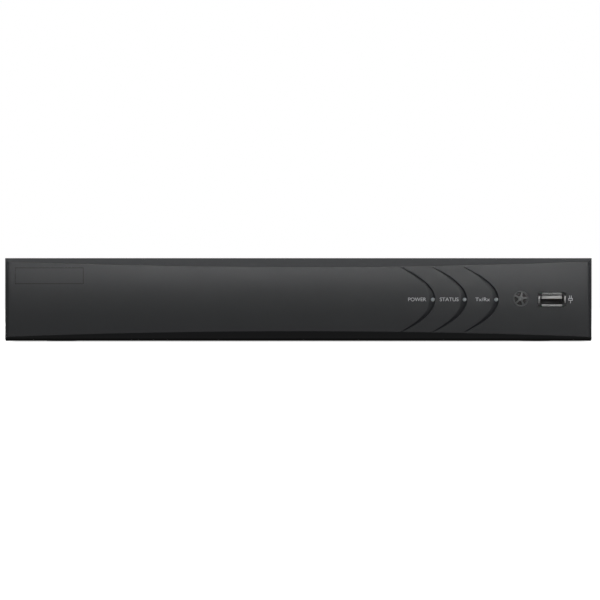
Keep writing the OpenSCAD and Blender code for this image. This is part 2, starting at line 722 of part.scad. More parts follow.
module vga_shell() color([0.75, 0.76, 0.78]) translate([vga_x, 0, vga_z]) difference() {
    union() {
        along_y(y_inner - 0.8, y_inner) square([31, 12.4], center = true);
        along_y(y_inner - 9, y_panel + 5.6) polygon(vga_outline(0));
    }
    along_y(y_inner - 10, y_panel + 7) polygon(vga_outline(-0.4));
    for (s = [-1, 1]) bar_y(s * vga_pitch / 2, 0, 1.8, y_inner - 2, y_panel);
}

module vga_insulator() color([0.1, 0.16, 0.45]) translate([vga_x, 0, vga_z]) {
    difference() {
        along_y(y_inner - 9 - eps, y_panel + 5.2) polygon(vga_outline(-0.4));
        for (row = [-1:1], i = [0:4])
            bar_y(-4.58 + i * 2.29 + row * 0.57, row * 1.98, 0.5, y_panel, y_panel + 6);
    }
    span([-15.4, y_inner - 12, board_top - vga_z], [15.4, y_inner - 9, 5.5]);
}

module vga_jackscrews() color([0.75, 0.76, 0.78]) for (s = [-1, 1])
    translate([vga_x + s * vga_pitch / 2, y_panel, vga_z]) {
        difference() {
            rotate([-90, 30, 0]) cylinder(h = 5, r = 2.75, $fn = 6);
            bar_y(0, 0, 1.15, 1, 6);
        }
        bar_y(0, 0, 1.4, -6, eps);
    }

function hdmi_outline(gap) = let (x = 7.4 + gap, z = 2.6 + gap, c = 1.5)
    [[-x + c, -z], [x - c, -z], [x - c + 0.3, -z + 0.9], [x, -z + c + 0.2], [x, z], [-x, z],
     [-x, -z + c + 0.2], [-x + c - 0.3, -z + 0.9]];

module hdmi_shell() color([0.75, 0.76, 0.78]) translate([hdmi_x, 0, hdmi_z]) difference() {
    along_y(y_inner - 11, y_panel + 0.6) polygon(hdmi_outline(0));
    along_y(y_inner - 10.6, y_panel + 1) polygon(hdmi_outline(-0.35));
}

module hdmi_insulator() color([0.06, 0.06, 0.06]) translate([hdmi_x, 0, hdmi_z]) {
    along_y(y_inner - 10.6, y_inner - 7) polygon(hdmi_outline(-0.35));
    span([-5.6, y_inner - 7 - eps, -0.1], [5.6, y_panel - 1, 1]);
}

lan_mouth_w = 11.9;
module lan_shield() color([0.75, 0.76, 0.78]) translate([lan_x, 0, lan_z]) difference() {
    span([-8, y_panel - 20, -6.9], [8, y_panel + 0.7, 6.7]);
    span([-7.6, y_panel - 19.6, -6.5], [7.6, y_panel + 2, 6.3]);
}

module lan_insert() color([0.1, 0.1, 0.1]) translate([lan_x, 0, lan_z]) difference() {
    span([-7.6, y_panel - 19.6, -6.5], [7.6, y_panel + 0.2, 6.3]);
    span([-lan_mouth_w / 2, y_panel - 13, -3.4], [lan_mouth_w / 2, y_panel + 1, 3.6]);
    span([-3.1, y_panel - 13, -4.9], [3.1, y_panel + 1, 0]);
    span([-2, y_panel - 13, -5.9], [2, y_panel + 1, 0]);
    for (i = [0:7]) translate([-3.57 + i * 1.02, 0, 3.5])
        span([-0.25, y_panel - 12, 0], [0.25, y_panel - 2, 1]);
}

lever_x = [for (s = [-1, 1]) term_x + s * lever_pitch / 2];
module terminal_block() color([0.1, 0.45, 0.2]) difference() {
    span([term_x - 5.9, y_inner - 9, board_top], [term_x + 5.9, y_panel + 1.6, board_top + 11]);
    for (x = lever_x) {
        bar_y(x, board_top + 3.4, 1.35, y_panel - 6, y_panel + 3);
        span([x - 1.6, y_panel - 6, board_top + 6.2], [x + 1.6, y_panel + 3, board_top + 9.8]);
    }
}

module terminal_lever(i) color([0.9, 0.45, 0.1]) {
    x = lever_x[i];
    span([x - 1.5, y_panel - 4, board_top + 6.3], [x + 1.5, y_panel + 3.2, board_top + 9.7]);
}

module dc_jack() color([0.07, 0.07, 0.07]) difference() {
    span([dc_x - 4.5, y_inner - 13, board_top], [dc_x + 4.5, y_panel + 0.8, board_top + 11]);
    bar_y(dc_x, dc_z, 3.1, y_panel - 9, y_panel + 2);
}

module dc_jack_pin() color([0.75, 0.76, 0.78]) {
    bar_y(dc_x, dc_z, 1, y_panel - 9, y_panel - 1);
    translate([dc_x, y_panel - 1, dc_z]) sphere(1);
}

module switch_housing() color([0.07, 0.07, 0.07]) difference() {
    union() {
        span([switch_x - 5.3, y_inner - 13, switch_z - 8.1], [switch_x + 5.3, y_panel, switch_z + 8.1]);
        span([switch_x - 6.4, y_panel, switch_z - 9.2], [switch_x + 6.4, y_panel + 1, switch_z + 9.2]);
        span([switch_x - 5.3, y_inner - 13, board_top], [switch_x + 5.3, y_inner - 6, switch_z]);
    }
    span([switch_x - 4.1, y_panel - 9.5, switch_z - 7], [switch_x + 4.1, y_panel + 2, switch_z + 7]);
    translate([switch_x - 5, rocker_pivot_y, switch_z]) rotate([0, 90, 0]) cylinder(h = 10, r = 1.05);
}

// See-saw cap: two faces meet at a blunt ridge over the pivot
module power_rocker() color([0.1, 0.1, 0.11])
    translate([0, rocker_pivot_y, switch_z]) rotate([-rocker_tilt, 0, 0]) {
        difference() {
            along_x(switch_x - 3.8, switch_x + 3.8) polygon([[-3, -5.2], [1.9, -6.4], [2.75, -6.2],
                [1.6, 0], [2.75, 6.2], [1.9, 6.4], [-3, 5.2], [-4.2, 0]]);
            bar_y(switch_x, 3.6, 1.2, 1.9, 4);
        }
        translate([switch_x - 4.8, 0, 0]) rotate([0, 90, 0]) cylinder(h = 9.6, r = 1);
    }

// ---------- fan ----------

module fan_frame() color([0.07, 0.07, 0.07]) translate([fan_x, 0, fan_z]) {
    difference() {
        along_y(y_inner - fan_depth, y_inner) round_rect(fan_side, fan_side, 3);
        bar_y(0, 0, fan_bore_r, y_inner - fan_depth - 1, y_inner + 1);
        for (x = [-1, 1], z = [-1, 1])
            bar_y(x * fan_hole, z * fan_hole, 1.75, y_inner - fan_depth - 1, y_inner + 1);
    }
    difference() {
        union() {
            bar_y(0, 0, hub_r, y_inner - fan_depth, y_inner - fan_depth + 1.4);
            for (a = [20, 140, 260]) rotate([0, a, 0])
                span([hub_r - 1, y_inner - fan_depth, -1.2],
                     [fan_bore_r + 0.4, y_inner - fan_depth + 1.4, 1.2]);
        }
        bar_y(0, 0, 1.05, y_inner - fan_depth - 1, y_inner - fan_depth + 2);
    }
}

module fan_rotor() color([0.09, 0.09, 0.09]) translate([fan_x, y_inner - fan_depth, fan_z]) {
    bar_y(0, 0, hub_r, 2, fan_depth - 0.8);
    bar_y(0, 0, 1, 0.2, 2 + eps);
    intersection() {
        difference() {
            bar_y(0, 0, fan_bore_r - 0.5, 2, fan_depth - 1);
            bar_y(0, 0, hub_r - 0.5, 1, fan_depth);
        }
        for (i = [0:fan_blades - 1]) rotate([0, i * 360 / fan_blades, 0])
            translate([hub_r - 1, fan_depth / 2 + 0.5, 0]) rotate([90 - blade_angle, 0, 0])
                translate([0, -0.4, -5.5]) cube([fan_bore_r, 0.8, 11]);
    }
}

module fan_screws() color([0.12, 0.12, 0.12]) for (x = [-1, 1], z = [-1, 1])
    translate([fan_x + x * fan_hole, y_panel, fan_z + z * fan_hole]) screw_back(3, 1.8, 1.7, 8);

// ---------- hard disk ----------

module disk_chamber() {
    post(spindle, platter_r + 2, disk_floor, disk_top + 1);
    span([pivot[0] - 18, disk_y0 + 4.5, disk_floor], [disk_x1 - 6, disk_y0 + 84, disk_top + 1]);
}

module hdd_base() color([0.6, 0.61, 0.62]) {
    difference() {
        span([disk_x0, disk_y0, disk_z], [disk_x1, disk_y1, disk_top - disk_lid_t]);
        disk_chamber();
        // pocket for the disk's own board, below
        span([disk_x0 + 40, disk_y0 + 9, disk_z - 1], [disk_x1 - 4, disk_y1 - 9, disk_z + 2.4]);
        // socket for the SATA and power plugs
        span([disk_x1 - 8, sata_y - 22, disk_z + 1], [disk_x1 + 1, sata_y + 22, disk_z + 7.5]);
        for (x = disk_hole_x, y = disk_hole_y) post([x, y], 1.8, disk_z - 1, disk_z + 3.6);
    }
    post(spindle, 4, disk_floor - eps, disk_floor + 14);
    post(pivot, 3, disk_floor - eps, disk_floor + 16);
}

module hdd_lid() color([0.75, 0.76, 0.77]) {
    difference() {
        span([disk_x0 + 0.5, disk_y0 + 0.5, disk_top - disk_lid_t], [disk_x1 - 0.5, disk_y1 - 0.5, disk_top]);
        post(spindle, 3, disk_top - 2, disk_top + 1);
    }
    difference() {
        post(spindle, platter_r - 3, disk_top - eps, disk_top + 0.7);
        post(spindle, platter_r - 9, disk_top, disk_top + 1);
    }
}

module hdd_platters() color([0.85, 0.86, 0.88]) difference() {
    union() {
        for (z = platter_z) post(spindle, platter_r, z, z + 1.3);
        post(spindle, 13, disk_floor + 1.5, disk_floor + 13);
        post(spindle, 16, platter_z[1] + 1.3 - eps, platter_z[1] + 2.8);
    }
    post(spindle, 4.05, disk_floor, disk_floor + 20);
}

// Three arms on one pivot, with the coil at the tail; the parked heads clear the platters' edge
module hdd_actuator() color([0.8, 0.8, 0.78])
    translate([pivot[0], pivot[1], 0]) rotate(park_angle) difference() {
        union() {
            cylinder_span(8, arm_z[0], arm_z[2] + 1);
            for (z = arm_z) translate([0, 0, z]) linear_extrude(1)
                polygon([[0, -7.5], [34, -2.6], [46, -1.6], [48, 0], [46, 1.6], [34, 2.6], [0, 7.5]]);
            translate([0, 0, arm_z[1] - 0.6]) linear_extrude(2.4)
                polygon([[0, -7.5], [-12, -10], [-19, -9], [-20, 0], [-19, 9], [-12, 10], [0, 7.5]]);
        }
        cylinder_span(3.05, 0, 60);
    }

module cylinder_span(r, z0, z1) {
    translate([0, 0, z0]) cylinder(h = z1 - z0, r = r);
}

// Two plates round the coil's path, on a back wall
module hdd_magnets() color([0.55, 0.56, 0.58]) translate([pivot[0], pivot[1], 0]) {
    for (z = [arm_z[1] - 4, arm_z[1] + 2.8]) translate([0, 0, z]) linear_extrude(2.4) polygon(concat(
        arc([0, 0], 21, 262, 300, 5), arc([0, 0], 22.3, 306, 339, 5), arc([0, 0], 11, 339, 262, 9)));
    translate([0, 0, arm_z[1] - 4]) linear_extrude(9.2)
        polygon(concat(arc([0, 0], 22.3, 310, 339, 4), arc([0, 0], 21.4, 339, 310, 4)));
}

module hdd_board() color([0.05, 0.25, 0.12]) {
    span([disk_x0 + 40.5, disk_y0 + 9.5, disk_z + 0.4], [disk_x1 - 8.5, disk_y1 - 9.5, disk_z + 1.9]);
}

module hdd_screws() color([0.75, 0.76, 0.78]) for (x = disk_hole_x, y = disk_hole_y)
    translate([x, y, disk_z - sheet]) rotate([-90, 0, 0]) screw_back(3.2, 1.9, 1.75, 4.2);

// ---------- internal cables ----------

sata_z = disk_z + 4.2;
// Route of a flat lead from the disk to a header at x: straight, a quarter turn, straight
function lead_route(x, y, r) = concat(
    [[disk_x1 + 15, y], [x - r, y]],
    arc([x - r, y + r], r, -80, 0, 8),
    [[x, board_y0 - 5.9]]
);

module sata_data_cable() color([0.7, 0.1, 0.1]) {
    y = sata_y + 14;
    translate([0, 0, sata_z - 3.4]) linear_extrude(6.8) polygon(strip(lead_route(data_x, y, 10), 0.8));
    span([disk_x1 + 0.2, y - 6.5, sata_z - 3.2], [disk_x1 + 15, y + 6.5, sata_z + 3.2]);
    span([data_x - 5, board_y0 - 6, sata_z - 3.4], [data_x + 5, board_y0 - 0.4, board_top + 6.2]);
    span([data_x - 5, board_y0 - 1, board_top + 1.8], [data_x + 5, board_y0 + 8.5, board_top + 6.2]);
}

module wire_leads() {
    y = sata_y - 10;
    color([0.75, 0.7, 0.1]) for (i = [0:3]) translate([0, 0, sata_z - 2.9 + i * 1.95]) linear_extrude(1.6)
        polygon(strip(lead_route(power_x, y, 12), 0.8));
    color([0.1, 0.1, 0.1]) {
        span([disk_x1 + 0.2, y - 11.5, sata_z - 3.2], [disk_x1 + 15, y + 9, sata_z + 4.8]);
        span([power_x - 5.1, board_y0 - 6, sata_z - 3.2], [power_x + 5.1, board_y0 - 0.4, board_top + 7.6]);
        span([power_x - 5.1, board_y0 - 1, board_top + 1.4],
             [power_x + 5.1, board_y0 + 8.5, board_top + 7.6]);
    }
    // fan lead: out of its plug, along the fan's side and into the frame
    color([0.1, 0.1, 0.1]) for (s = [-0.9, 0.9]) translate([0, 0, board_top + 7.2]) {
        lane = fan_x - fan_side / 2 - 5;
        y1 = y_inner - fan_depth - 1;
        linear_extrude(1.4) polygon(strip(concat(
            [[fan_header_at[0] + 2, fan_header_at[1] + s]],
            arc([lane - 5, fan_header_at[1] + 5], 5 - s, 270, 360, 6),
            arc([lane + 4, y1], 4 + s, 180, 90, 6),
            [[lane + 5, y1 + 4 + s]]
        ), 0.7));
    }
    color([0.9, 0.9, 0.85]) span([fan_header_at[0] - 3, fan_header_at[1] - 2, board_top + 1.2],
                                 [fan_header_at[0] + 3, fan_header_at[1] + 2, board_top + 9]);
}

// Fourteen-way ribbon: out of the front board's header, down to the floor, back and up into the main board's
ribbon_path = concat(
    [[front_board_back + 9, mid_z - 5.5]],
    arc([front_board_y + 14, mid_z - 8.5], 3, 90, 0, 4),
    arc([front_board_y + 20, floor_z + 4.2], 3, 180, 270, 4),
    arc([board_y0 - 8, floor_z + 5.2], 4, 270, 360, 4),
    arc([board_y0 + 4.5, board_top + 12], 8.5, 180, 90, 6),
    arc([board_y0 + 9, board_top + 17], 3.5, 90, 0, 4),
    [[board_y0 + 12.5, board_top + 13]]
);
module front_ribbon_cable() color([0.6, 0.6, 0.62]) {
    along_x(ribbon_x - 8.9, ribbon_x + 8.9) polygon(strip(ribbon_path, 0.45));
    span([ribbon_x - 10.4, front_board_back + 1.6, mid_z - 8.4],
         [ribbon_x + 10.4, front_board_back + 10, mid_z - 2.6]);
    span([ribbon_x - 10.4, board_y0 + 9.6, board_top + 1.6],
         [ribbon_x + 10.4, board_y0 + 15.4, board_top + 13.5]);
}

chassis_tray();
top_cover();
cover_screws();
rubber_feet();
ground_screw();
front_bezel();
light_pipe(0);  // power_light_pipe
light_pipe(1);  // status_light_pipe
light_pipe(2);  // network_light_pipe
ir_window();
front_board();
indicator_leds();
ir_receiver();
usb_shells();
usb_insulators();
mainboard();
board_screws();
processor();
heatsink();
board_chips();
capacitors();
inductors();
battery_holder();
rtc_battery();
buzzer();
board_headers();
bnc_housings();
bnc_shells();
bnc_insulators();
bnc_contacts();
rca_housing();
rca_shells();
rca_inserts();
vga_shell();
vga_insulator();
vga_jackscrews();
hdmi_shell();
hdmi_insulator();
lan_shield();
lan_insert();
terminal_block();
terminal_lever(0);  // terminal_lever_a
terminal_lever(1);  // terminal_lever_b
dc_jack();
dc_jack_pin();
switch_housing();
power_rocker();
fan_frame();
fan_rotor();
fan_screws();
hdd_base();
hdd_lid();
hdd_platters();
hdd_actuator();
hdd_magnets();
hdd_board();
hdd_screws();
sata_data_cable();
wire_leads();
front_ribbon_cable();
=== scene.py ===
"""Looks of a slim desktop video recorder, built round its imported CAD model.

The front faces -Y, +X is to the right seen from the front and +Z is up, as in the CAD model. Shapes are drawn
in millimetres and turned into metres once, when they become pieces.
"""

from __future__ import annotations

import json
import logging
import math
import random
from collections.abc import Callable, Sequence
from dataclasses import dataclass, field
from enum import Enum

import bmesh
import bpy
from mathutils import Matrix, Vector
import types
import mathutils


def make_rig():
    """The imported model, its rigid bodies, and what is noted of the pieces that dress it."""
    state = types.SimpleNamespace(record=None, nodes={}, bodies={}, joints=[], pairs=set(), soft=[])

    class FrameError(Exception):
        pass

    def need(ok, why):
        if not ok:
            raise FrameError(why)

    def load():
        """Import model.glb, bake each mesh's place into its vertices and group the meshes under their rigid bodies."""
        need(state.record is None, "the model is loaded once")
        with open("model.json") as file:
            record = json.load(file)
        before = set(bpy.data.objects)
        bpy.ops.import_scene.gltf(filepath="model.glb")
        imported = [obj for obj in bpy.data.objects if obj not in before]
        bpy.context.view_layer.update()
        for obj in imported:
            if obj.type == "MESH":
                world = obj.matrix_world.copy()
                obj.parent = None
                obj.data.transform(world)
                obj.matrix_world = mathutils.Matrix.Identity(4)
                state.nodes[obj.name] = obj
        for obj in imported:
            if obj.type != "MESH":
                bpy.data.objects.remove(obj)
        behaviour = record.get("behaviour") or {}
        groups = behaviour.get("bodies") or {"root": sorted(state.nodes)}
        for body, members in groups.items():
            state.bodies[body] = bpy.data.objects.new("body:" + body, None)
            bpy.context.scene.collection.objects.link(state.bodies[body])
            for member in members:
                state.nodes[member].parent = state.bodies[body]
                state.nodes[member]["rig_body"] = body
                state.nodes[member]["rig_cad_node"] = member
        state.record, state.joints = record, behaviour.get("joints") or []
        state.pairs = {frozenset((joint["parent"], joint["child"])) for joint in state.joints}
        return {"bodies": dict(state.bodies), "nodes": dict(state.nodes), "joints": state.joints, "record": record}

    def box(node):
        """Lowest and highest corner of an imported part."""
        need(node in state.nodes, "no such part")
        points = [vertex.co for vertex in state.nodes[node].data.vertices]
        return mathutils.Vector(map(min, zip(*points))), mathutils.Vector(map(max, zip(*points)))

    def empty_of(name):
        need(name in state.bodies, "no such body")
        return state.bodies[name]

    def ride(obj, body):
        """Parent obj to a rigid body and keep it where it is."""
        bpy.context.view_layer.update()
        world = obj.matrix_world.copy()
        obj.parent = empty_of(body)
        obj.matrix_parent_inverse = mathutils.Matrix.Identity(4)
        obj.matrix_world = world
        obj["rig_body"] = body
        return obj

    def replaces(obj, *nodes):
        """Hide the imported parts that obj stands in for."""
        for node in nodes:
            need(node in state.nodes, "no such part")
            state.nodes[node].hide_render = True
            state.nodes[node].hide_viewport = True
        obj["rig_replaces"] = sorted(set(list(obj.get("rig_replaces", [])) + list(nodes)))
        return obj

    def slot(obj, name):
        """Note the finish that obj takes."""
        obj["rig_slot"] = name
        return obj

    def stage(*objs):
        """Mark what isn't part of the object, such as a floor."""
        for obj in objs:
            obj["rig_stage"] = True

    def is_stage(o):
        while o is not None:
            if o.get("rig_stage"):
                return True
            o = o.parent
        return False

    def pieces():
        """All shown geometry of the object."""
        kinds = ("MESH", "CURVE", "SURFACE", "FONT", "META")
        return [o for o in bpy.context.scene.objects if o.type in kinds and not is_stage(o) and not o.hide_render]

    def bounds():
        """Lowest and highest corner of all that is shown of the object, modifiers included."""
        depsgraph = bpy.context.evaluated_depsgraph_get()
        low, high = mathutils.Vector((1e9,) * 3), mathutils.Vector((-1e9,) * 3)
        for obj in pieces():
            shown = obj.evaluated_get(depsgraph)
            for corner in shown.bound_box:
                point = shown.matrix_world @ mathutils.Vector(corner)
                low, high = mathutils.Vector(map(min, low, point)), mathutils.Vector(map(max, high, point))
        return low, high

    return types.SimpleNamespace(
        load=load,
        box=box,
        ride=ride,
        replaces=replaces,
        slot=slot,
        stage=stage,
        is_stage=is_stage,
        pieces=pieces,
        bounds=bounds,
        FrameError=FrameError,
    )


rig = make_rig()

Colour = tuple[float, float, float]
Flat = tuple[float, float]
Point = tuple[float, float, float]
Box = tuple[Vector, Vector]

MM = 0.001
SIZE_FILE = "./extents.json"
SEED = 7
FINE_PITCH = 1.27
LOG = logging.getLogger("recorder")


class Axis(Enum):
    """A direction of the row frame."""

    X = 0
    Y = 1
    Z = 2


class Facing(Enum):
    """The side of the recorder that a printed mark is read from."""

    FRONT = -1
    REAR = 1


# ---------- shader maths ----------


class Wire:
    """An output socket. Arithmetic on it adds Math nodes to the graph that it belongs to."""

    def __init__(self, graph: Graph, socket: bpy.types.NodeSocket) -> None:
        """Keeps the graph and the socket."""
        self.graph = graph
        self.socket = socket

    def maths(self, operation: str, *values: Wire | float) -> Wire:
        """Adds one Math node.

        Args:
            operation: the Math node's operation.
            values: what goes into its sockets, in order.

        Returns:
            The node's result.
        """
        return self.graph.add("ShaderNodeMath", {"operation": operation}, dict(enumerate(values)))

    def __add__(self, other: Wire | float) -> Wire:
        """Sum."""
        return self.maths("ADD", self, other)

    def __radd__(self, other: float) -> Wire:
        """Sum, with the number first."""
        return self.maths("ADD", other, self)

    def __sub__(self, other: Wire | float) -> Wire:
        """Difference."""
        return self.maths("SUBTRACT", self, other)

    def __rsub__(self, other: float) -> Wire:
        """Difference, with the number first."""
        return self.maths("SUBTRACT", other, self)

    def __mul__(self, other: Wire | float) -> Wire:
        """Product."""
        return self.maths("MULTIPLY", self, other)

    def __truediv__(self, other: Wire | float) -> Wire:
        """Quotient."""
        return self.maths("DIVIDE", self, other)

    def __mod__(self, other: float) -> Wire:
        """Remainder, never below 0."""
        return self.maths("FLOORED_MODULO", self, other)

    def __abs__(self) -> Wire:
        """Size without sign."""
        return self.maths("ABSOLUTE", self)

    def highest(self, other: Wire | float) -> Wire:
        """The higher of two values."""
        return self.maths("MAXIMUM", self, other)

    def rising(self, start: float, end: float) -> Wire:
        """A smooth step.

        Args:
            start: the value where the step begins, at 0.
            end: the value where it ends, at 1. It may be below start.

        Returns:
            The step, from 0 to 1.
        """
        low, high = min(start, end), max(start, end)
        step = self.graph.add(
            "ShaderNodeMapRange",
            {"interpolation_type": "SMOOTHSTEP"},
            {"Value": self, "From Min": low, "From Max": high},
        )
        return step if start < end else 1 - step


class Graph:
    """The node tree of a material or world. All its nodes come from add()."""

    def __init__(self, owner: bpy.types.Material | bpy.types.World) -> None:
        """Empties the owner's tree."""
        owner.use_nodes = True
        self.tree = owner.node_tree
        self.tree.nodes.clear()

    def add(
        self,
        kind: str,
        settings: dict[str, object] | None = None,
        sockets: dict[str | int, Wire | float | tuple[float, ...]] | None = None,
        output: int = 0,
    ) -> Wire:
        """Adds one node.

        Args:
            kind: the node's type.
            settings: its properties, set first. "stops" fills its colour ramp with (place, colour) pairs.
            sockets: values or links of its inputs, by name or number.
            output: the number of the output that is returned.

        Returns:
            That output, or for a node with none, a wire with no socket.
        """
        node = self.tree.nodes.new(kind)
        for name, value in (settings or {}).items():
            if name == "stops":
                ramp = node.color_ramp.elements
                while len(ramp) < len(value):
                    ramp.new(0.5)
                for stop, (place, colour) in zip(ramp, value):
                    stop.position = place
                    stop.color = (*colour, 1.0)
            else:
                setattr(node, name, value)
        for name, value in (sockets or {}).items():
            socket = node.inputs[name]
            if isinstance(value, Wire):
                self.tree.links.new(value.socket, socket)
            elif isinstance(value, tuple) and len(value) == 3 and socket.type == "RGBA":
                socket.default_value = (*value, 1.0)
            else:
                socket.default_value = value
        return Wire(self, node.outputs[output] if len(node.outputs) else None)

    def place(self) -> Wire:
        """The point on the object, in metres, in the row frame at rest."""
        return self.add("ShaderNodeTexCoord", output=3)

    def part(self, axis: Axis, of: Wire | None = None) -> Wire:
        """One coordinate, in millimetres.

        Args:
            axis: which one.
            of: the vector in metres, or the point itself.

        Returns:
            The coordinate.
        """
        vector = of or self.place()
        return self.add("ShaderNodeSeparateXYZ", None, {0: vector}, output=axis.value) * (1 / MM)

    def stretched(self, stretch: Point) -> Wire:
        """The point, scaled along each axis, so that a pattern on it is stretched by the inverse."""
        return self.add("ShaderNodeVectorMath", {"operation": "MULTIPLY"}, {0: self.place(), 1: stretch})

    def noise(self, size: float, detail: float = 2.0, stretch: Point = (1, 1, 1), rough: float = 0.5) -> Wire:
        """Soft noise about 0.5.

        Args:
            size: millimetres from one blob to the next.
            detail: how many finer layers it has.
            stretch: factors on the point.
            rough: how strong the finer layers are.

        Returns:
            The noise.
        """
        layers = {"Detail": detail, "Roughness": rough}
        place = {"Vector": self.stretched(stretch), "Scale": 1 / (size * MM)}
        return self.add("ShaderNodeTexNoise", None, {**place, **layers})

    def cells(
        self, size: float, feature: str = "F1", metric: str = "EUCLIDEAN", vector: Wire | None = None
    ) -> Wire:
        """Distance to a cell's centre.

        Args:
            size: millimetres across a cell.
            feature: the Voronoi node's feature.
            metric: how distance is measured.
            vector: the point to use, in metres.

        Returns:
            The distance, in cells.
        """
        return self.add(
            "ShaderNodeTexVoronoi",
            {"feature": feature, "distance": metric, "voronoi_dimensions": "2D" if vector else "3D"},
            {"Vector": vector or self.place(), "Scale": 1 / (size * MM)},
        )

    def mixed(self, factor: Wire | float, first: Wire | Colour, second: Wire | Colour) -> Wire:
        """A colour between two, first at factor 0."""
        return self.add("ShaderNodeMix", {"data_type": "RGBA"}, {0: factor, 6: first, 7: second}, output=2)

    def shaded(self, colour: Wire | Colour, amount: Wire) -> Wire:
        """A colour times a number."""
        return self.add("ShaderNodeVectorMath", {"operation": "SCALE"}, {0: colour, "Scale": amount})

    def bump(self, height: Wire, depth: float, strength: float = 1.0) -> Wire:
        """A normal from a height.

        Args:
            height: the height, as a share of depth.
            depth: millimetres from 0 to 1.
            strength: how much of it shows.

        Returns:
            The normal.
        """
        sockets = {"Height": height, "Distance": depth * MM, "Strength": strength}
        return self.add("ShaderNodeBump", None, sockets)

    def surface(self, sockets: dict[str, Wire | float | tuple[float, ...]]) -> None:
        """Ends the graph in a Principled shader with those sockets."""
        shader = self.add("ShaderNodeBsdfPrincipled", None, sockets)
        self.add("ShaderNodeOutputMaterial", None, {"Surface": shader})


# ---------- finishes ----------


@dataclass(frozen=True)
class Finish:
    """A named finish with a colour. A subclass draws its nodes."""

    label: str
    colour: Colour

    def draw(self, graph: Graph) -> None:
        """Adds the finish's nodes to the graph."""
        raise NotImplementedError

    def material(self) -> bpy.types.Material:
        """The finish's material, made on first use."""
        known = bpy.data.materials.get(self.label)
        if known:
            return known
        material = bpy.data.materials.new(self.label)
        self.draw(Graph(material))
        return material


@dataclass(frozen=True)
class Moulding(Finish):
    """Injection-moulded plastic with a spark-eroded grain."""

    roughness: float = 0.5
    grain: float = 0.45
    depth: float = 0.02
    mottle: float = 0.08
    coat: float = 0.0
    # height in millimetres below which a contact shadow is painted into the colour and gloss, or 0 for none
    dirt_line: float = 0.0

    def draw(self, graph: Graph) -> None:
        """Fine grain, a faint cloud in colour and gloss, and a painted contact shadow: darker, duller plastic below
        the shadow line.
        """
        fine = graph.noise(self.grain, 3)
        cloud = graph.noise(self.grain * 45, 3)
        shade = 1 + (cloud - 0.5) * (2 * self.mottle) + (fine - 0.5) * self.mottle
        gloss = self.roughness + (cloud - 0.5) * 0.12
        # painted shadow: below this height the colour is darkened and the gloss dulled, standing in for the contact
        # shadow along the bottom edge
        if self.dirt_line > 0:
            unshaded = graph.part(Axis.Z).rising(self.dirt_line - 0.2, self.dirt_line + 0.1)
            shade = shade * (0.15 + unshaded * 0.85)
            gloss = gloss + (1 - unshaded) * 0.6
        graph.surface(
            {
                "Base Color": graph.shaded(self.colour, shade),
                "Roughness": gloss,
                "Normal": graph.bump(fine, self.depth),
                "Coat Weight": self.coat,
                "Coat Roughness": 0.25,
            }
        )


@dataclass(frozen=True)
class TwoTone(Finish):
    """Moulded plastic whose colour changes at a height, as on a stack of two coloured sockets."""

    upper: Colour
    split: float

    def draw(self, graph: Graph) -> None:
        """One colour below the split, and the other above."""
        above = graph.part(Axis.Z).rising(self.split - 0.05, self.split + 0.05)
        fine = graph.noise(0.5, 3)
        graph.surface(
            {
                "Base Color": graph.shaded(graph.mixed(above, self.colour, self.upper), 0.94 + fine * 0.12),
                "Roughness": 0.38 + (fine - 0.5) * 0.15,
                "Normal": graph.bump(fine, 0.01),
            }
        )


@dataclass(frozen=True)
class PowderCoat(Finish):
    """Powder coat on sheet steel: fine orange peel with a speckle."""

    roughness: float = 0.55
    peel: float = 0.7
    depth: float = 0.035

    def draw(self, graph: Graph) -> None:
        """Orange peel, speckle, and slight dulling from handling."""
        peel = graph.noise(self.peel, 2, rough=0.6)
        speckle = graph.noise(self.peel * 0.35, 1)
        cloud = graph.noise(55, 4)
        graph.surface(
            {
                "Base Color": graph.shaded(self.colour, 0.82 + speckle * 0.36 + (cloud - 0.5) * 0.16),
                "Roughness": self.roughness + (peel - 0.5) * 0.25 + (cloud - 0.5) * 0.16,
                "Normal": graph.bump(peel, self.depth),
            }
        )


@dataclass(frozen=True)
class Plating(Finish):
    """Bright plating on pressed or turned metal, with handling marks."""

    roughness: float = 0.22
    marks: Point = (1, 5, 1)

    def draw(self, graph: Graph) -> None:
        """Fine marks along one direction, and a cloudy tarnish."""
        marks = graph.noise(0.35, 4, stretch=self.marks, rough=0.65)
        cloud = graph.noise(5, 3)
        graph.surface(
            {
                "Base Color": graph.shaded(self.colour, 0.86 + cloud * 0.2 + (marks - 0.5) * 0.12),
                "Metallic": 1.0,
                "Roughness": self.roughness + (marks - 0.5) * 0.18 + (cloud - 0.5) * 0.14,
                "Normal": graph.bump(marks, 0.005),
            }
        )


@dataclass(frozen=True)
class Brushed(Finish):
    """Sheet metal brushed along one direction."""

    roughness: float = 0.34
    along: Axis = Axis.X

    def draw(self, graph: Graph) -> None:
        """Long fine lines, and a broad cloud."""
        stretch = tuple(0.012 if axis == self.along else 1.0 for axis in Axis)
        lines = graph.noise(0.16, 3, stretch=stretch, rough=0.7)
        cloud = graph.noise(30, 3)
        graph.surface(
            {
                "Base Color": graph.shaded(self.colour, 0.8 + lines * 0.3 + (cloud - 0.5) * 0.12),
                "Metallic": 1.0,
                "Roughness": self.roughness + (lines - 0.5) * 0.3,
                "Normal": graph.bump(lines, 0.01),
            }
        )


@dataclass(frozen=True)
class Casting(Finish):
    """Die-cast aluminium, blasted: small pits and a soft sheen."""

    roughness: float = 0.5

    def draw(self, graph: Graph) -> None:
        """Grains, pits and stains."""
        grain = graph.noise(0.5, 4, rough=0.7)
        pits = graph.cells(1.3).rising(0.0, 0.22)
        stain = graph.noise(14, 4)
        shade = 0.7 + grain * 0.3 + pits * 0.08 + (stain - 0.5) * 0.2
        graph.surface(
            {
                "Base Color": graph.shaded(self.colour, shade),
                "Metallic": 1.0,
                "Roughness": self.roughness + (grain - 0.5) * 0.25,
                "Normal": graph.bump(grain * 0.7 + pits * 0.3, 0.05),
            }
        )


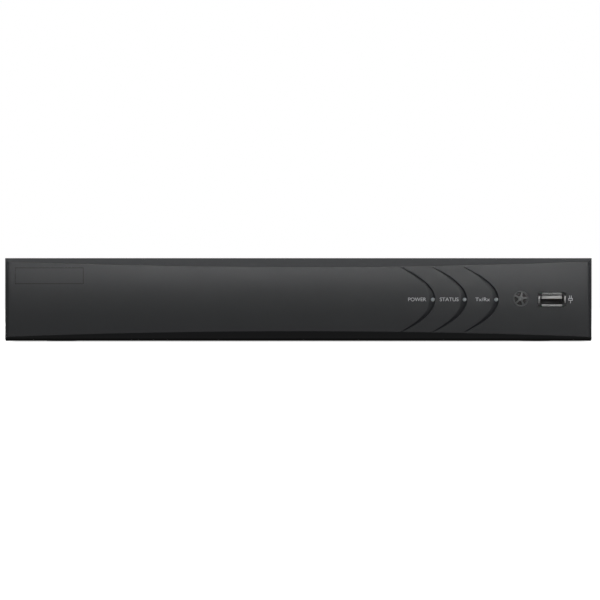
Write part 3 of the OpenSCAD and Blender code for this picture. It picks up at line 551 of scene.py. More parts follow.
class Plane(Enum):
    """The plane that a circuit board lies in, as the two axes of its pattern."""

    FLAT = (Axis.X, Axis.Y)
    UPRIGHT = (Axis.X, Axis.Z)


@dataclass(frozen=True)
class SolderMask(Finish):
    """Solder mask over copper tracks and plated holes."""

    plane: Plane = Plane.FLAT
    track: Colour = (0.05, 0.27, 0.12)
    plated: Colour = (0.72, 0.56, 0.25)

    def draw(self, graph: Graph) -> None:
        """Tracks as thin cell borders in two sizes, holes at cell centres, and glossy mask over all."""
        first, second = self.plane.value
        across = graph.add(
            "ShaderNodeCombineXYZ",
            None,
            {0: graph.part(first) * MM, 1: graph.part(second) * MM},
        )
        tracks: list[Wire] = []
        for size, width in ((6.5, 0.028), (2.6, 0.045)):
            near = graph.cells(size, "F1", "CHEBYCHEV", across)
            far = graph.cells(size, "F2", "CHEBYCHEV", across)
            tracks.append((far - near).rising(width, width * 0.5))
        copper = tracks[0].highest(tracks[1])
        hole = graph.cells(4.2, vector=across)
        ring = hole.rising(0.13, 0.1)
        bore = hole.rising(0.06, 0.045)
        cloud = graph.noise(22, 3)
        mask = graph.shaded(graph.mixed(copper, self.colour, self.track), 0.85 + cloud * 0.3)
        graph.surface(
            {
                "Base Color": graph.mixed(bore, graph.mixed(ring, mask, self.plated), (0.01, 0.012, 0.01)),
                "Metallic": ring * (1 - bore),
                "Roughness": 0.3 + (cloud - 0.5) * 0.2 + bore * 0.4,
                "Normal": graph.bump(copper.highest(ring) - bore, 0.05),
                "Coat Weight": 0.25,
                "Coat Roughness": 0.15,
            }
        )


@dataclass(frozen=True)
class Loom(Finish):
    """Four stacked wires of different colours between two black plugs."""

    corner: Point
    pitch: float
    upper: tuple[Colour, ...] = ((0.7, 0.45, 0.03), (0.03, 0.03, 0.03), (0.5, 0.03, 0.02), (0.65, 0.2, 0.02))

    def draw(self, graph: Graph) -> None:
        """One colour for each level of the stack, and plain black past the plugs' faces."""
        level = (graph.part(Axis.Z) - self.corner[2]) / self.pitch
        colour = self.upper[0]
        for step, paint in enumerate(self.upper[1:], 1):
            colour = graph.mixed(level.rising(step - 0.06, step - 0.04), colour, paint)
        right = graph.part(Axis.X).rising(self.corner[0], self.corner[0] + 0.1)
        front = graph.part(Axis.Y).rising(self.corner[1] + 0.1, self.corner[1])
        wires = right * front
        fine = graph.noise(0.8, 3)
        graph.surface(
            {
                "Base Color": graph.shaded(graph.mixed(wires, self.colour, colour), 0.92 + fine * 0.16),
                "Roughness": 0.42 + (fine - 0.5) * 0.12,
                "Normal": graph.bump(fine, 0.01),
            }
        )


@dataclass(frozen=True)
class RibbonSkin(Finish):
    """Grey ribbon cable: a ridge for each wire, and one red edge."""

    pitch: float
    start: float
    marked: Colour = (0.45, 0.04, 0.03)

    def draw(self, graph: Graph) -> None:
        """Ridges across X, in the ribbon's own pitch, and the marked first wire."""
        across = (graph.part(Axis.X) - self.start) / self.pitch
        ridge = 1 - abs((across % 1.0) - 0.5) * 2
        first = across.rising(1.04, 0.96)
        dust = graph.noise(6, 3)
        colour = graph.mixed(first, self.colour, self.marked)
        graph.surface(
            {
                "Base Color": graph.shaded(colour, 0.72 + ridge * 0.3 + dust * 0.1),
                "Roughness": 0.5 + (dust - 0.5) * 0.2,
                "Normal": graph.bump(ridge, 0.3),
            }
        )


@dataclass(frozen=True)
class Smoked(Finish):
    """Dark polished plastic that only infrared light passes."""

    deep: Colour = (0.012, 0.003, 0.004)

    def draw(self, graph: Graph) -> None:
        """Nearly black with a deep red cast, polished, with faint wipe marks."""
        wipe = graph.noise(1.2, 4, stretch=(1, 1, 3))
        graph.surface(
            {
                "Base Color": graph.mixed(wipe.rising(0.4, 0.75), self.colour, self.deep),
                "Roughness": 0.2 + wipe * 0.12,
                "IOR": 1.5,
                "Normal": graph.bump(wipe, 0.003),
            }
        )


@dataclass(frozen=True)
class Frosted(Finish):
    """Clear plastic with a frosted end, which looks milky when its lamp is off."""

    def draw(self, graph: Graph) -> None:
        """A milky body with a fine frost."""
        frost = graph.noise(0.15, 2)
        depth = graph.noise(1.5, 2)
        graph.surface(
            {
                "Base Color": graph.shaded(self.colour, 0.88 + depth * 0.2),
                "Roughness": 0.3 + (frost - 0.5) * 0.3,
                "Normal": graph.bump(frost, 0.006),
                "Subsurface Weight": 0.25,
                "Coat Weight": 0.4,
                "Coat Roughness": 0.12,
            }
        )


@dataclass(frozen=True)
class Ink(Finish):
    """Screen-printed ink, slightly uneven."""

    def draw(self, graph: Graph) -> None:
        """A thin film that varies in cover."""
        cover = graph.noise(0.25, 3)
        graph.surface(
            {
                "Base Color": graph.shaded(self.colour, 0.86 + cover * 0.24),
                "Roughness": 0.55 + (cover - 0.5) * 0.2,
                "Normal": graph.bump(cover, 0.006),
            }
        )


@dataclass(frozen=True)
class Rubber(Finish):
    """Matt rubber with a fine skin and picked-up dust."""

    def draw(self, graph: Graph) -> None:
        """Skin, and dust in patches."""
        skin = graph.noise(0.3, 3)
        dust = graph.noise(5, 4).rising(0.45, 0.75)
        graph.surface(
            {
                "Base Color": graph.mixed(dust * 0.35, self.colour, (0.16, 0.155, 0.15)),
                "Roughness": 0.82 + dust * 0.1,
                "Normal": graph.bump(skin, 0.03),
            }
        )


@dataclass(frozen=True)
class Platter(Finish):
    """A disk platter: a mirror with the faintest turned rings."""

    centre: Flat

    def draw(self, graph: Graph) -> None:
        """Rings round the spindle, in gloss only."""
        away = graph.add(
            "ShaderNodeVectorMath",
            {"operation": "DISTANCE"},
            {0: graph.stretched((1, 1, 0)), 1: (self.centre[0] * MM, self.centre[1] * MM, 0.0)},
            output=1,
        )
        sockets = {"W": away, "Scale": 2500.0, "Detail": 3.0}
        rings = graph.add("ShaderNodeTexNoise", {"noise_dimensions": "1D"}, sockets)
        graph.surface(
            {
                "Base Color": graph.shaded(self.colour, 0.92 + rings * 0.12),
                "Metallic": 1.0,
                "Roughness": 0.05 + rings * 0.05,
                "Normal": graph.bump(rings, 0.001),
            }
        )


class Stock:
    """The finishes of the recorder, by what they are used on."""

    # painted shadow: the bezel is darkened along its bottom 1.9 mm, standing in for its contact shadow
    bezel = Moulding("charcoal_bezel", (0.0178, 0.0191, 0.0212), 0.42, 0.34, 0.012, 0.07, dirt_line=1.9)
    shell = PowderCoat("black_powder_coat", (0.022, 0.0225, 0.024))
    window = Smoked("smoked_window", (0.003, 0.002, 0.003))
    wheel = Moulding("window_wheel", (0.13, 0.135, 0.135), 0.34, 0.4, 0.006, 0.06)
    lamp = Frosted("frosted_lamp", (0.3, 0.31, 0.31))
    diode = Frosted("clear_diode", (0.7, 0.72, 0.66))
    ink = Ink("white_ink", (0.56, 0.57, 0.58))
    black = Moulding("black_housing", (0.016, 0.016, 0.017), 0.4, 0.6, 0.01, 0.1)
    package = Moulding("chip_package", (0.022, 0.022, 0.023), 0.6, 0.16, 0.02, 0.12)
    ivory = Moulding("ivory_nylon", (0.72, 0.68, 0.54), 0.42, 0.7, 0.01, 0.05)
    pale = Moulding("pale_grey_plastic", (0.46, 0.46, 0.45), 0.45, 0.6, 0.01, 0.06)
    white = Moulding("white_insulator", (0.8, 0.8, 0.78), 0.35, 0.6, 0.008, 0.04)
    blue = Moulding("blue_connector", (0.02, 0.055, 0.32), 0.38, 0.6, 0.01, 0.08)
    green = Moulding("green_terminal", (0.03, 0.26, 0.08), 0.42, 0.6, 0.012, 0.08)
    orange = Moulding("orange_lever", (0.82, 0.2, 0.02), 0.4, 0.5, 0.01, 0.06)
    nickel = Plating("nickel_plate", (0.66, 0.645, 0.61), 0.24)
    socket_steel = Plating("socket_steel", (0.4, 0.4, 0.4), 0.3)
    steel = Plating("zinc_plate", (0.6, 0.62, 0.64), 0.32, (1, 1, 1))
    black_steel = Plating("black_oxide", (0.035, 0.035, 0.037), 0.38, (1, 1, 1))
    gold = Plating("gold_plate", (0.85, 0.58, 0.2), 0.2, (1, 1, 4))
    anodised = Brushed("black_anodised", (0.05, 0.05, 0.055), 0.4, Axis.Y)
    lid = Brushed("brushed_lid", (0.62, 0.63, 0.64), 0.3, Axis.X)
    arm = Brushed("machined_arm", (0.7, 0.7, 0.7), 0.28, Axis.Y)
    casting = Casting("disk_casting", (0.38, 0.39, 0.4))
    ferrite = Casting("ferrite_block", (0.12, 0.12, 0.125), 0.6)
    sleeve = Moulding("capacitor_sleeve", (0.012, 0.014, 0.03), 0.28, 1.2, 0.004, 0.05, 0.3)
    rubber = Rubber("foot_rubber", (0.018, 0.018, 0.018))
    board = SolderMask("main_board_mask", (0.018, 0.14, 0.055))
    upright_board = SolderMask("front_board_mask", (0.018, 0.14, 0.055), Plane.UPRIGHT)
    red_wire = Moulding("red_insulation", (0.5, 0.03, 0.02), 0.42, 0.8, 0.01)
    # painted shadow: near-black ink for lines and blocks that stand in for shade, round the badge recess and in the
    # USB corner slots
    seal = Ink("black_seal", (0.002, 0.002, 0.0025))
    label = Ink("label_paper", (0.72, 0.73, 0.74))
    resistor = Moulding("resistor", (0.018, 0.018, 0.02), 0.35, 0.3, 0.004, 0.1)
    ceramic = Moulding("ceramic", (0.42, 0.3, 0.17), 0.4, 0.3, 0.006, 0.1)
    solder = Plating("tinned_lead", (0.72, 0.72, 0.72), 0.3, (1, 1, 1))
    can = Brushed("drawn_can", (0.72, 0.72, 0.73), 0.3, Axis.X)
    band = Ink("label_band", (0.05, 0.22, 0.3))


# ---------- shapes ----------


def rectangle(x: float, z: float, width: float, height: float) -> tuple[tuple[float, ...], ...]:
    """The four strokes of a rectangle about a point."""
    left, right = x - width / 2, x + width / 2
    low, high = z - height / 2, z + height / 2
    corners = ((left, low), (right, low), (right, high), (left, high))
    return tuple((*start, *end) for start, end in zip(corners, corners[1:] + corners[:1]))


class Sign(Enum):
    """Small printed signs. A stroke is its ends' x and z about the sign's middle, as shares of its size."""

    PLUG = (
        *rectangle(0, -0.025, 0.5, 0.25),
        (-0.1125, 0.1, -0.1125, 0.45),
        (0.1125, 0.1, 0.1125, 0.45),
        (0, -0.15, 0, -0.5),
    )
    SCREEN = (*rectangle(0, 0.15, 1, 0.62), (0, -0.16, 0, -0.4), (-0.25, -0.42, 0.25, -0.42))
    NETWORK = (
        *rectangle(0, 0.32, 0.26, 0.26),
        *rectangle(-0.36, -0.32, 0.26, 0.26),
        *rectangle(0.36, -0.32, 0.26, 0.26),
        (0, 0.17, 0, 0),
        (-0.36, 0, 0.36, 0),
        (-0.36, 0, -0.36, -0.17),
        (0.36, 0, 0.36, -0.17),
    )
    SIGNAL_OUT = ((0, -0.5, 0, 0.5), (0, 0.5, -0.3, 0.15), (0, 0.5, 0.3, 0.15))
    SIGNAL_IN = ((0, 0.5, 0, -0.5), (0, -0.5, -0.3, -0.15), (0, -0.5, 0.3, -0.15))
    EARTH = ((0, 0.5, 0, 0), (-0.42, 0, 0.42, 0), (-0.27, -0.22, 0.27, -0.22), (-0.12, -0.44, 0.12, -0.44))
    DIRECT_CURRENT = (
        (-0.5, 0.14, 0.5, 0.14),
        (-0.47, -0.14, -0.29, -0.14),
        (-0.09, -0.14, 0.09, -0.14),
        (0.29, -0.14, 0.47, -0.14),
    )


class Shape:
    """A mesh that is being drawn, in millimetres of the row frame."""

    def __init__(self) -> None:
        """Starts with nothing."""
        self.mesh = bmesh.new()

    def _new(self, draw: Callable[[], object]) -> list[bmesh.types.BMVert]:
        """The vertices that a drawing call adds."""
        before = len(self.mesh.verts)
        draw()
        self.mesh.verts.ensure_lookup_table()
        return self.mesh.verts[before:]

    def block(self, corner: Sequence[float], opposite: Sequence[float], edge: float = 0.0) -> Shape:
        """Adds a box with broken edges.

        Args:
            corner: any corner.
            opposite: the corner opposite to it.
            edge: the width of the broken edges.

        Returns:
            The shape itself.
        """
        low, high = Vector(map(min, corner, opposite)), Vector(map(max, corner, opposite))
        place = Matrix.Translation((low + high) / 2) @ Matrix.Diagonal((*(high - low), 1.0))
        made = self._new(lambda: bmesh.ops.create_cube(self.mesh, size=1.0, matrix=place))
        if edge > 0:
            edges = {e for v in made for e in v.link_edges}
            bmesh.ops.bevel(self.mesh, geom=list(edges), offset=edge, segments=2, profile=0.6, affect="EDGES")
        return self

    def prism(self, outline: Sequence[Flat], axis: Axis, low: float, high: float) -> Shape:
        """Adds an outline pushed out along an axis.

        Args:
            outline: points in the plane of the other two axes, in X, Y, Z order.
            axis: the direction of the push.
            low: where it starts.
            high: where it ends.

        Returns:
            The shape itself.
        """
        rings = []
        for level in (low, high):
            points = [list(p) for p in outline]
            for p in points:
                p.insert(axis.value, level)
            rings.append([self.mesh.verts.new(p) for p in points])
        count = len(outline)
        first, last = rings
        faces = [first[::-1], last]
        for i in range(count):
            after = (i + 1) % count
            faces.append([first[i], first[after], last[after], last[i]])
        made = [self.mesh.faces.new(f) for f in faces]
        bmesh.ops.recalc_face_normals(self.mesh, faces=made)
        return self

    def turned(self, profile: Sequence[Flat], centre: Sequence[float], axis: Axis, sides: int = 32) -> Shape:
        """Adds a turned piece.

        Args:
            profile: (radius, place along the axis) pairs. A radius of 0 closes an end.
            centre: the axis's start.
            axis: its direction.
            sides: how many sides a ring has.

        Returns:
            The shape itself.
        """
        u, v = [a.value for a in Axis if a != axis]
        rings: list[list[bmesh.types.BMVert]] = []
        for radius, level in profile:
            ring = []
            for i in range(sides if radius > 0 else 1):
                angle = 2 * math.pi * i / sides
                point = list(centre)
                point[u] += radius * math.cos(angle)
                point[v] += radius * math.sin(angle)
                point[axis.value] += level
                ring.append(self.mesh.verts.new(point))
            rings.append(ring)
        made = []
        for a, b in zip(rings, rings[1:]):
            for i in range(sides):
                quad = [a[i % len(a)], a[(i + 1) % len(a)], b[(i + 1) % len(b)], b[i % len(b)]]
                made.append(self.mesh.faces.new(list(dict.fromkeys(quad))))
        for ring in (rings[0], rings[-1]):
            if len(ring) > 2:
                made.append(self.mesh.faces.new(ring))
        bmesh.ops.recalc_face_normals(self.mesh, faces=made)
        return self

    def tube(self, path: Sequence[Sequence[float]], radius: float, sides: int = 10) -> Shape:
        """Adds a round wire along a path.

        Args:
            path: the points of its middle line.
            radius: its radius.
            sides: how many sides it has.

        Returns:
            The shape itself.
        """
        points = [Vector(p) for p in path]
        rings = []
        side = Vector((0, 0, 1))
        for i, point in enumerate(points):
            heading = (points[min(i + 1, len(points) - 1)] - points[max(i - 1, 0)]).normalized()
            across = heading.cross(side)
            if across.length < 1e-3:
                across = heading.cross(Vector((1, 0, 0)))
            across.normalize()
            up = across.cross(heading)
            ring = []
            for k in range(sides):
                turn = 2 * math.pi * k / sides
                spoke = across * math.cos(turn) + up * math.sin(turn)
                ring.append(self.mesh.verts.new(point + radius * spoke))
            rings.append(ring)
        made = [self.mesh.faces.new(rings[0][::-1]), self.mesh.faces.new(rings[-1])]
        for a, b in zip(rings, rings[1:]):
            for k in range(sides):
                after = (k + 1) % sides
                made.append(self.mesh.faces.new([a[k], a[after], b[after], b[k]]))
        bmesh.ops.recalc_face_normals(self.mesh, faces=made)
        return self

    def lettering(self, text: str, centre: Flat, height: float, width: float | None = None) -> Shape:
        """Adds printed letters, in the XZ plane.

        Args:
            text: the letters.
            centre: their middle, as X and Z.
            height: the height of the letters.
            width: the width of the whole, or None to keep its proportions.

        Returns:
            The shape itself.
        """
        curve = bpy.data.curves.new("letters", "FONT")
        curve.body = text
        curve.size = 10.0
        curve.extrude = 0.5
        holder = bpy.data.objects.new("letters", curve)
        bpy.context.scene.collection.objects.link(holder)
        bpy.context.view_layer.update()
        mesh = bpy.data.meshes.new_from_object(holder.evaluated_get(bpy.context.evaluated_depsgraph_get()))
        made = self._new(lambda: self.mesh.from_mesh(mesh))
        bpy.data.objects.remove(holder)
        bpy.data.curves.remove(curve)
        bpy.data.meshes.remove(mesh)
        low = [min(v.co[k] for v in made) for k in (0, 1)]
        high = [max(v.co[k] for v in made) for k in (0, 1)]
        rise = height / (high[1] - low[1])
        run = width / (high[0] - low[0]) if width else rise
        for v in made:
            x, z, level = v.co
            v.co = (
                centre[0] + (x - (low[0] + high[0]) / 2) * run,
                -level,
                centre[1] + (z - (low[1] + high[1]) / 2) * rise,
            )
        return self

    def print_on(self, surface: Callable[[float], float], film: float, facing: Facing) -> Shape:
        """Lays everything drawn so far on a wall, as a thin film.

        Args:
            surface: the wall's Y for a given X.
            film: how far the film stands proud.
            facing: the side that it is read from.

        Returns:
            The shape itself.
        """
        for v in self.mesh.verts:
            outer = v.co.y < 0
            v.co.y = surface(v.co.x) + facing.value * (film if outer else -film)
        if facing is Facing.REAR:
            bmesh.ops.reverse_faces(self.mesh, faces=self.mesh.faces[:])
        return self

    def mirrored(self, about: float) -> Shape:
        """Mirrors everything drawn so far in X, for marks that are read from the rear."""
        for v in self.mesh.verts:
            v.co.x = 2 * about - v.co.x
        bmesh.ops.reverse_faces(self.mesh, faces=self.mesh.faces[:])
        return self

    def bar(self, start: Flat, end: Flat, width: float) -> Shape:
        """Adds a printed line in the XZ plane, from start to end."""
        a, b = Vector(start), Vector(end)
        along = (b - a).normalized() * width / 2
        across = Vector((-along.y, along.x))
        corners = [a - along - across, b + along - across, b + along + across, a - along + across]
        return self.prism([tuple(c) for c in corners], Axis.Y, -0.5, 0.5)

    def sign(self, sign: Sign, at: Flat, size: float, line: float = 0.3) -> Shape:
        """Adds a printed sign in the XZ plane.

        Args:
            sign: which one.
            at: its middle.
            size: the length of one unit of its strokes.
            line: the width of its lines.

        Returns:
            The shape itself.
        """
        for a, b, c, d in sign.value:
            self.bar((at[0] + a * size, at[1] + b * size), (at[0] + c * size, at[1] + d * size), line)
        return self


def arc(centre: Flat, radius: float, start: float, end: float, steps: int) -> list[Flat]:
    """Points on an arc.

    Args:
        centre: its centre.
        radius: its radius.
        start: its first angle, in degrees.
        end: its last angle.
        steps: how many steps it takes.

    Returns:
        The points, ends included.
    """
    angles = [math.radians(start + (end - start) * i / steps) for i in range(steps + 1)]
    return [(centre[0] + radius * math.cos(a), centre[1] + radius * math.sin(a)) for a in angles]


# ---------- the workshop ----------


@dataclass
class Workshop:
    """Loads the CAD model, dresses its nodes and adds pieces to it."""

    frame: dict[str, object] = field(default_factory=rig.load)
    smooth_angle: float = 32.0
    cad_box: Box = field(init=False)

    def __post_init__(self) -> None:
        """Notes the CAD model's box before anything is added."""
        self.cad_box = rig.bounds()

    def box(self, node: str) -> Box:
        """A CAD node's lowest and highest corners, in millimetres."""
        low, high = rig.box(node)
        return low / MM, high / MM

    def centre(self, node: str) -> Vector:
        """The middle of a CAD node's box, in millimetres."""
        low, high = self.box(node)
        return (low + high) / 2

    def solids(self, node: str) -> list[Box]:
        """The boxes of a node's separate solids.

        Args:
            node: the CAD node.

        Returns:
            (lowest corner, highest corner) of each, in millimetres, from the lowest X up.
        """
        mesh = self.frame["nodes"][node].data
        keys = [tuple(round(c, 7) for c in v.co) for v in mesh.vertices]
        owner: dict[Point, Point] = {k: k for k in keys}

        def root(key: Point) -> Point:
            """The solid's first vertex."""
            while owner[key] != key:
                owner[key] = owner[owner[key]]
                key = owner[key]
            return key

        for edge in mesh.edges:
            a, b = (root(keys[i]) for i in edge.vertices)
            owner[a] = b
        groups: dict[Point, list[Point]] = {}
        for key in owner:
            groups.setdefault(root(key), []).append(key)
        boxes = []
        for points in groups.values():
            low, high = (Vector(map(pick, zip(*points))) / MM for pick in (min, max))
            boxes.append((low, high))
        return sorted(boxes, key=lambda b: (round(b[0].x, 3), round(b[0].z, 3)))

    def soften(self, obj: bpy.types.Object, edge: float) -> None:
        """Breaks an object's edges by that many millimetres, unless it is 0."""
        if edge > 0:
            soft = obj.modifiers.new("edges", "BEVEL")
            soft.width = edge * MM
            soft.segments = 2
            soft.limit_method = "ANGLE"
            soft.angle_limit = math.radians(self.smooth_angle)

    def dress(self, node: str, finish: Finish, edge: float) -> None:
        """Gives a CAD node its finish, and softens its edges.

        Args:
            node: the CAD node.
            finish: its finish.
            edge: the width of the broken edges in millimetres, or 0 for none.
        """
        obj = self.frame["nodes"][node]
        obj.data.materials.clear()
        obj.data.materials.append(finish.material())
        obj.data.shade_smooth()
        weld = obj.modifiers.new("weld", "WELD")
        weld.merge_threshold = 1e-6
        flat = obj.modifiers.new("flat", "DECIMATE")
        flat.decimate_type = "DISSOLVE"
        flat.angle_limit = math.radians(0.02)
        self.soften(obj, edge)
        even = obj.modifiers.new("normals", "WEIGHTED_NORMAL")
        even.keep_sharp = True
        LOG.info("dressed %s in %s", node, finish.label)

    def add(
        self, name: str, shape: Shape, finish: Finish, slot: str, edge: float = 0.0, body: str = "chassis"
    ) -> bpy.types.Object:
        """Turns a shape into a piece that rides on a body.

        Args:
            name: the piece's name.
            shape: its shape, which is used up.
            finish: its finish.
            slot: the record's material slot that it belongs to.
            edge: the width of its broken edges in millimetres, or 0 for none.
            body: the CAD body that it moves with.

        Returns:
            The new object.
        """
        bmesh.ops.scale(shape.mesh, vec=(MM, MM, MM), verts=shape.mesh.verts[:])
        mesh = bpy.data.meshes.new(name)
        shape.mesh.to_mesh(mesh)
        shape.mesh.free()
        mesh.shade_smooth()
        mesh.set_sharp_from_angle(angle=math.radians(self.smooth_angle))
        mesh.materials.append(finish.material())
        obj = bpy.data.objects.new(name, mesh)
        bpy.context.scene.collection.objects.link(obj)
        self.soften(obj, edge)
        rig.ride(obj, body)
        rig.slot(obj, slot)
        LOG.info("added %s on %s", name, body)
        return obj

    def write_sizes(self) -> None:
        """Writes the CAD model's box and the visual model's box."""
        boxes = {"cad": self.cad_box, "visual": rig.bounds()}
        with open(SIZE_FILE, "w") as file:
            json.dump({name: [list(corner) for corner in box] for name, box in boxes.items()}, file)


# ---------- studio ----------


class Lamp(Enum):
    """The studio's lamps. Each value is place, target, size in metres, beam width in degrees and watts.

    Place and target are measured from the middle of the front's upper edge.
    """

    KEY = ((0.55, -0.9, 0.42), (0.0, 0.0, -0.02), (0.5, 0.4), 180.0, 3.1)
    FILL = ((-0.5, -1.5, 0.5), (0.0, 0.0, -0.02), (1.2, 0.8), 180.0, 2.35)
    REAR = ((-0.7, 1.2, 0.5), (0.0, 0.24, -0.02), (0.8, 0.6), 180.0, 9.0)
    WIDE_BAND = ((0.0, -0.1, -0.002), (0.0, 0.0, -0.003), (0.5, 0.004), 36.0, 0.0075)
    TIGHT_BAND = ((0.0, -0.1, -0.002), (0.0, 0.0, -0.003), (0.5, 0.002), 16.0, 0.0052)
    RIGHT_BAND = ((0.18, -0.1, -0.002), (0.18, 0.0, -0.004), (0.2, 0.004), 44.0, 0.0016)


@dataclass
class Studio:
    """Floor, soft light and camera."""

    lens: float = 200.0
    sensor: float = 36.0
    filled: float = 0.978
    aside: float = 0.00086
    lower: float = 0.00024
    sky: float = 0.82
    ground: float = 0.1
    sky_starts: float = -0.3
    sky_full: float = 0.8
    floor_reach: float = 6.0
    floor_glow: float = 0.72
    face_depth: float = 0.006

    def build(self) -> None:
        """Makes the whole studio."""
        self.camera()
        self.floor()
        self.world()
        low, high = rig.box("front_bezel")
        edge = Vector(((low.x + high.x) / 2, low.y, high.z))
        for lamp in Lamp:
            self.hang(lamp, edge)
        LOG.info("studio ready")

    def camera(self) -> None:
        """A long lens, level with the middle of the front."""
        low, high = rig.box("front_bezel")
        width = (high.x - low.x) / self.filled
        data = bpy.data.cameras.new("camera")
        data.lens = self.lens
        data.sensor_width = self.sensor
        data.clip_end = 50.0
        camera = bpy.data.objects.new("camera", data)
        bpy.context.scene.collection.objects.link(camera)
        camera.location = (
            (low.x + high.x) / 2 + self.aside,
            low.y + self.face_depth - width * self.lens / self.sensor,
            (low.z + high.z) / 2 - self.lower,
        )
        camera.rotation_euler = (math.pi / 2, 0, 0)
        bpy.context.scene.camera = camera

    def floor(self) -> None:
        """A plain pale floor, seen from above only, which throws no light on the recorder."""
        material = bpy.data.materials.new("pale_floor")
        graph = Graph(material)
        below = graph.add("ShaderNodeNewGeometry", output=6)
        paint = graph.add("ShaderNodeBsdfDiffuse", None, {"Color": (0.8, 0.8, 0.8)})
        glow = graph.add("ShaderNodeEmission", None, {"Color": (1.0, 1.0, 1.0), "Strength": self.floor_glow})
        lit = graph.add("ShaderNodeAddShader", None, {0: paint, 1: glow})
        clear = graph.add("ShaderNodeBsdfTransparent")
        both = graph.add("ShaderNodeMixShader", None, {0: below, 1: lit, 2: clear})
        graph.add("ShaderNodeOutputMaterial", None, {"Surface": both})
        shape = Shape()
        reach = self.floor_reach
        corners = ((-reach, -reach), (reach, -reach), (reach, reach), (-reach, reach))
        shape.mesh.faces.new([shape.mesh.verts.new((*corner, 0)) for corner in corners])
        mesh = bpy.data.meshes.new("floor")
        shape.mesh.to_mesh(mesh)
        shape.mesh.free()
        mesh.materials.append(material)
        floor = bpy.data.objects.new("floor", mesh)
        floor.visible_diffuse = False
        floor.visible_glossy = False
        bpy.context.scene.collection.objects.link(floor)
        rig.stage(floor)

    def world(self) -> None:
        """A pale room: white to look at, brighter above than below as a light."""
        world = bpy.data.worlds.new("room")
        bpy.context.scene.world = world
        graph = Graph(world)
        place = graph.add("ShaderNodeTexCoord")
        height = graph.add("ShaderNodeSeparateXYZ", None, {0: place}, output=Axis.Z.value)
        span = {"From Min": self.sky_starts, "From Max": self.sky_full}
        glow = {"To Min": self.ground, "To Max": self.sky}
        level = graph.add("ShaderNodeMapRange", None, {"Value": height, **span, **glow})
        light = graph.add("ShaderNodeBackground", None, {"Strength": level})
        white = graph.add("ShaderNodeBackground", None, {"Color": (1.0, 1.0, 1.0)})
        seen = graph.add("ShaderNodeLightPath")
        both = graph.add("ShaderNodeMixShader", None, {0: seen, 1: light, 2: white})
        graph.add("ShaderNodeOutputWorld", None, {"Surface": both})
        bpy.context.scene.view_settings.view_transform = "Standard"

    def hang(self, lamp: Lamp, edge: Vector) -> None:
        """Hangs one soft rectangular lamp.

        Args:
            lamp: which one.
            edge: the middle of the front's upper edge.
        """
        place, target, size, beam, watts = lamp.value
        data = bpy.data.lights.new(lamp.name.lower(), "AREA")
        data.shape = "RECTANGLE"
        data.size, data.size_y = size
        data.spread = math.radians(beam)
        data.energy = watts
        light = bpy.data.objects.new(lamp.name.lower(), data)
        light.location = edge + Vector(place)
        light.rotation_euler = (Vector(target) - Vector(place)).to_track_quat("-Z", "Y").to_euler()
        light.visible_camera = False
        bpy.context.scene.collection.objects.link(light)


# ---------- sub-assemblies ----------


class Assembly:
    """Some pieces of the recorder. Its table gives CAD nodes their finish and their edge in millimetres."""

    coats: tuple[tuple[Finish | float | str, ...], ...] = ()

    def build(self, shop: Workshop) -> None:
        """Adds the pieces that the CAD model lacks."""
        raise NotImplementedError

    def dress(self, shop: Workshop) -> None:
        """Finishes the nodes in the table."""
        for finish, edge, *nodes in self.coats:
            for node in nodes:
                shop.dress(node, finish, edge)


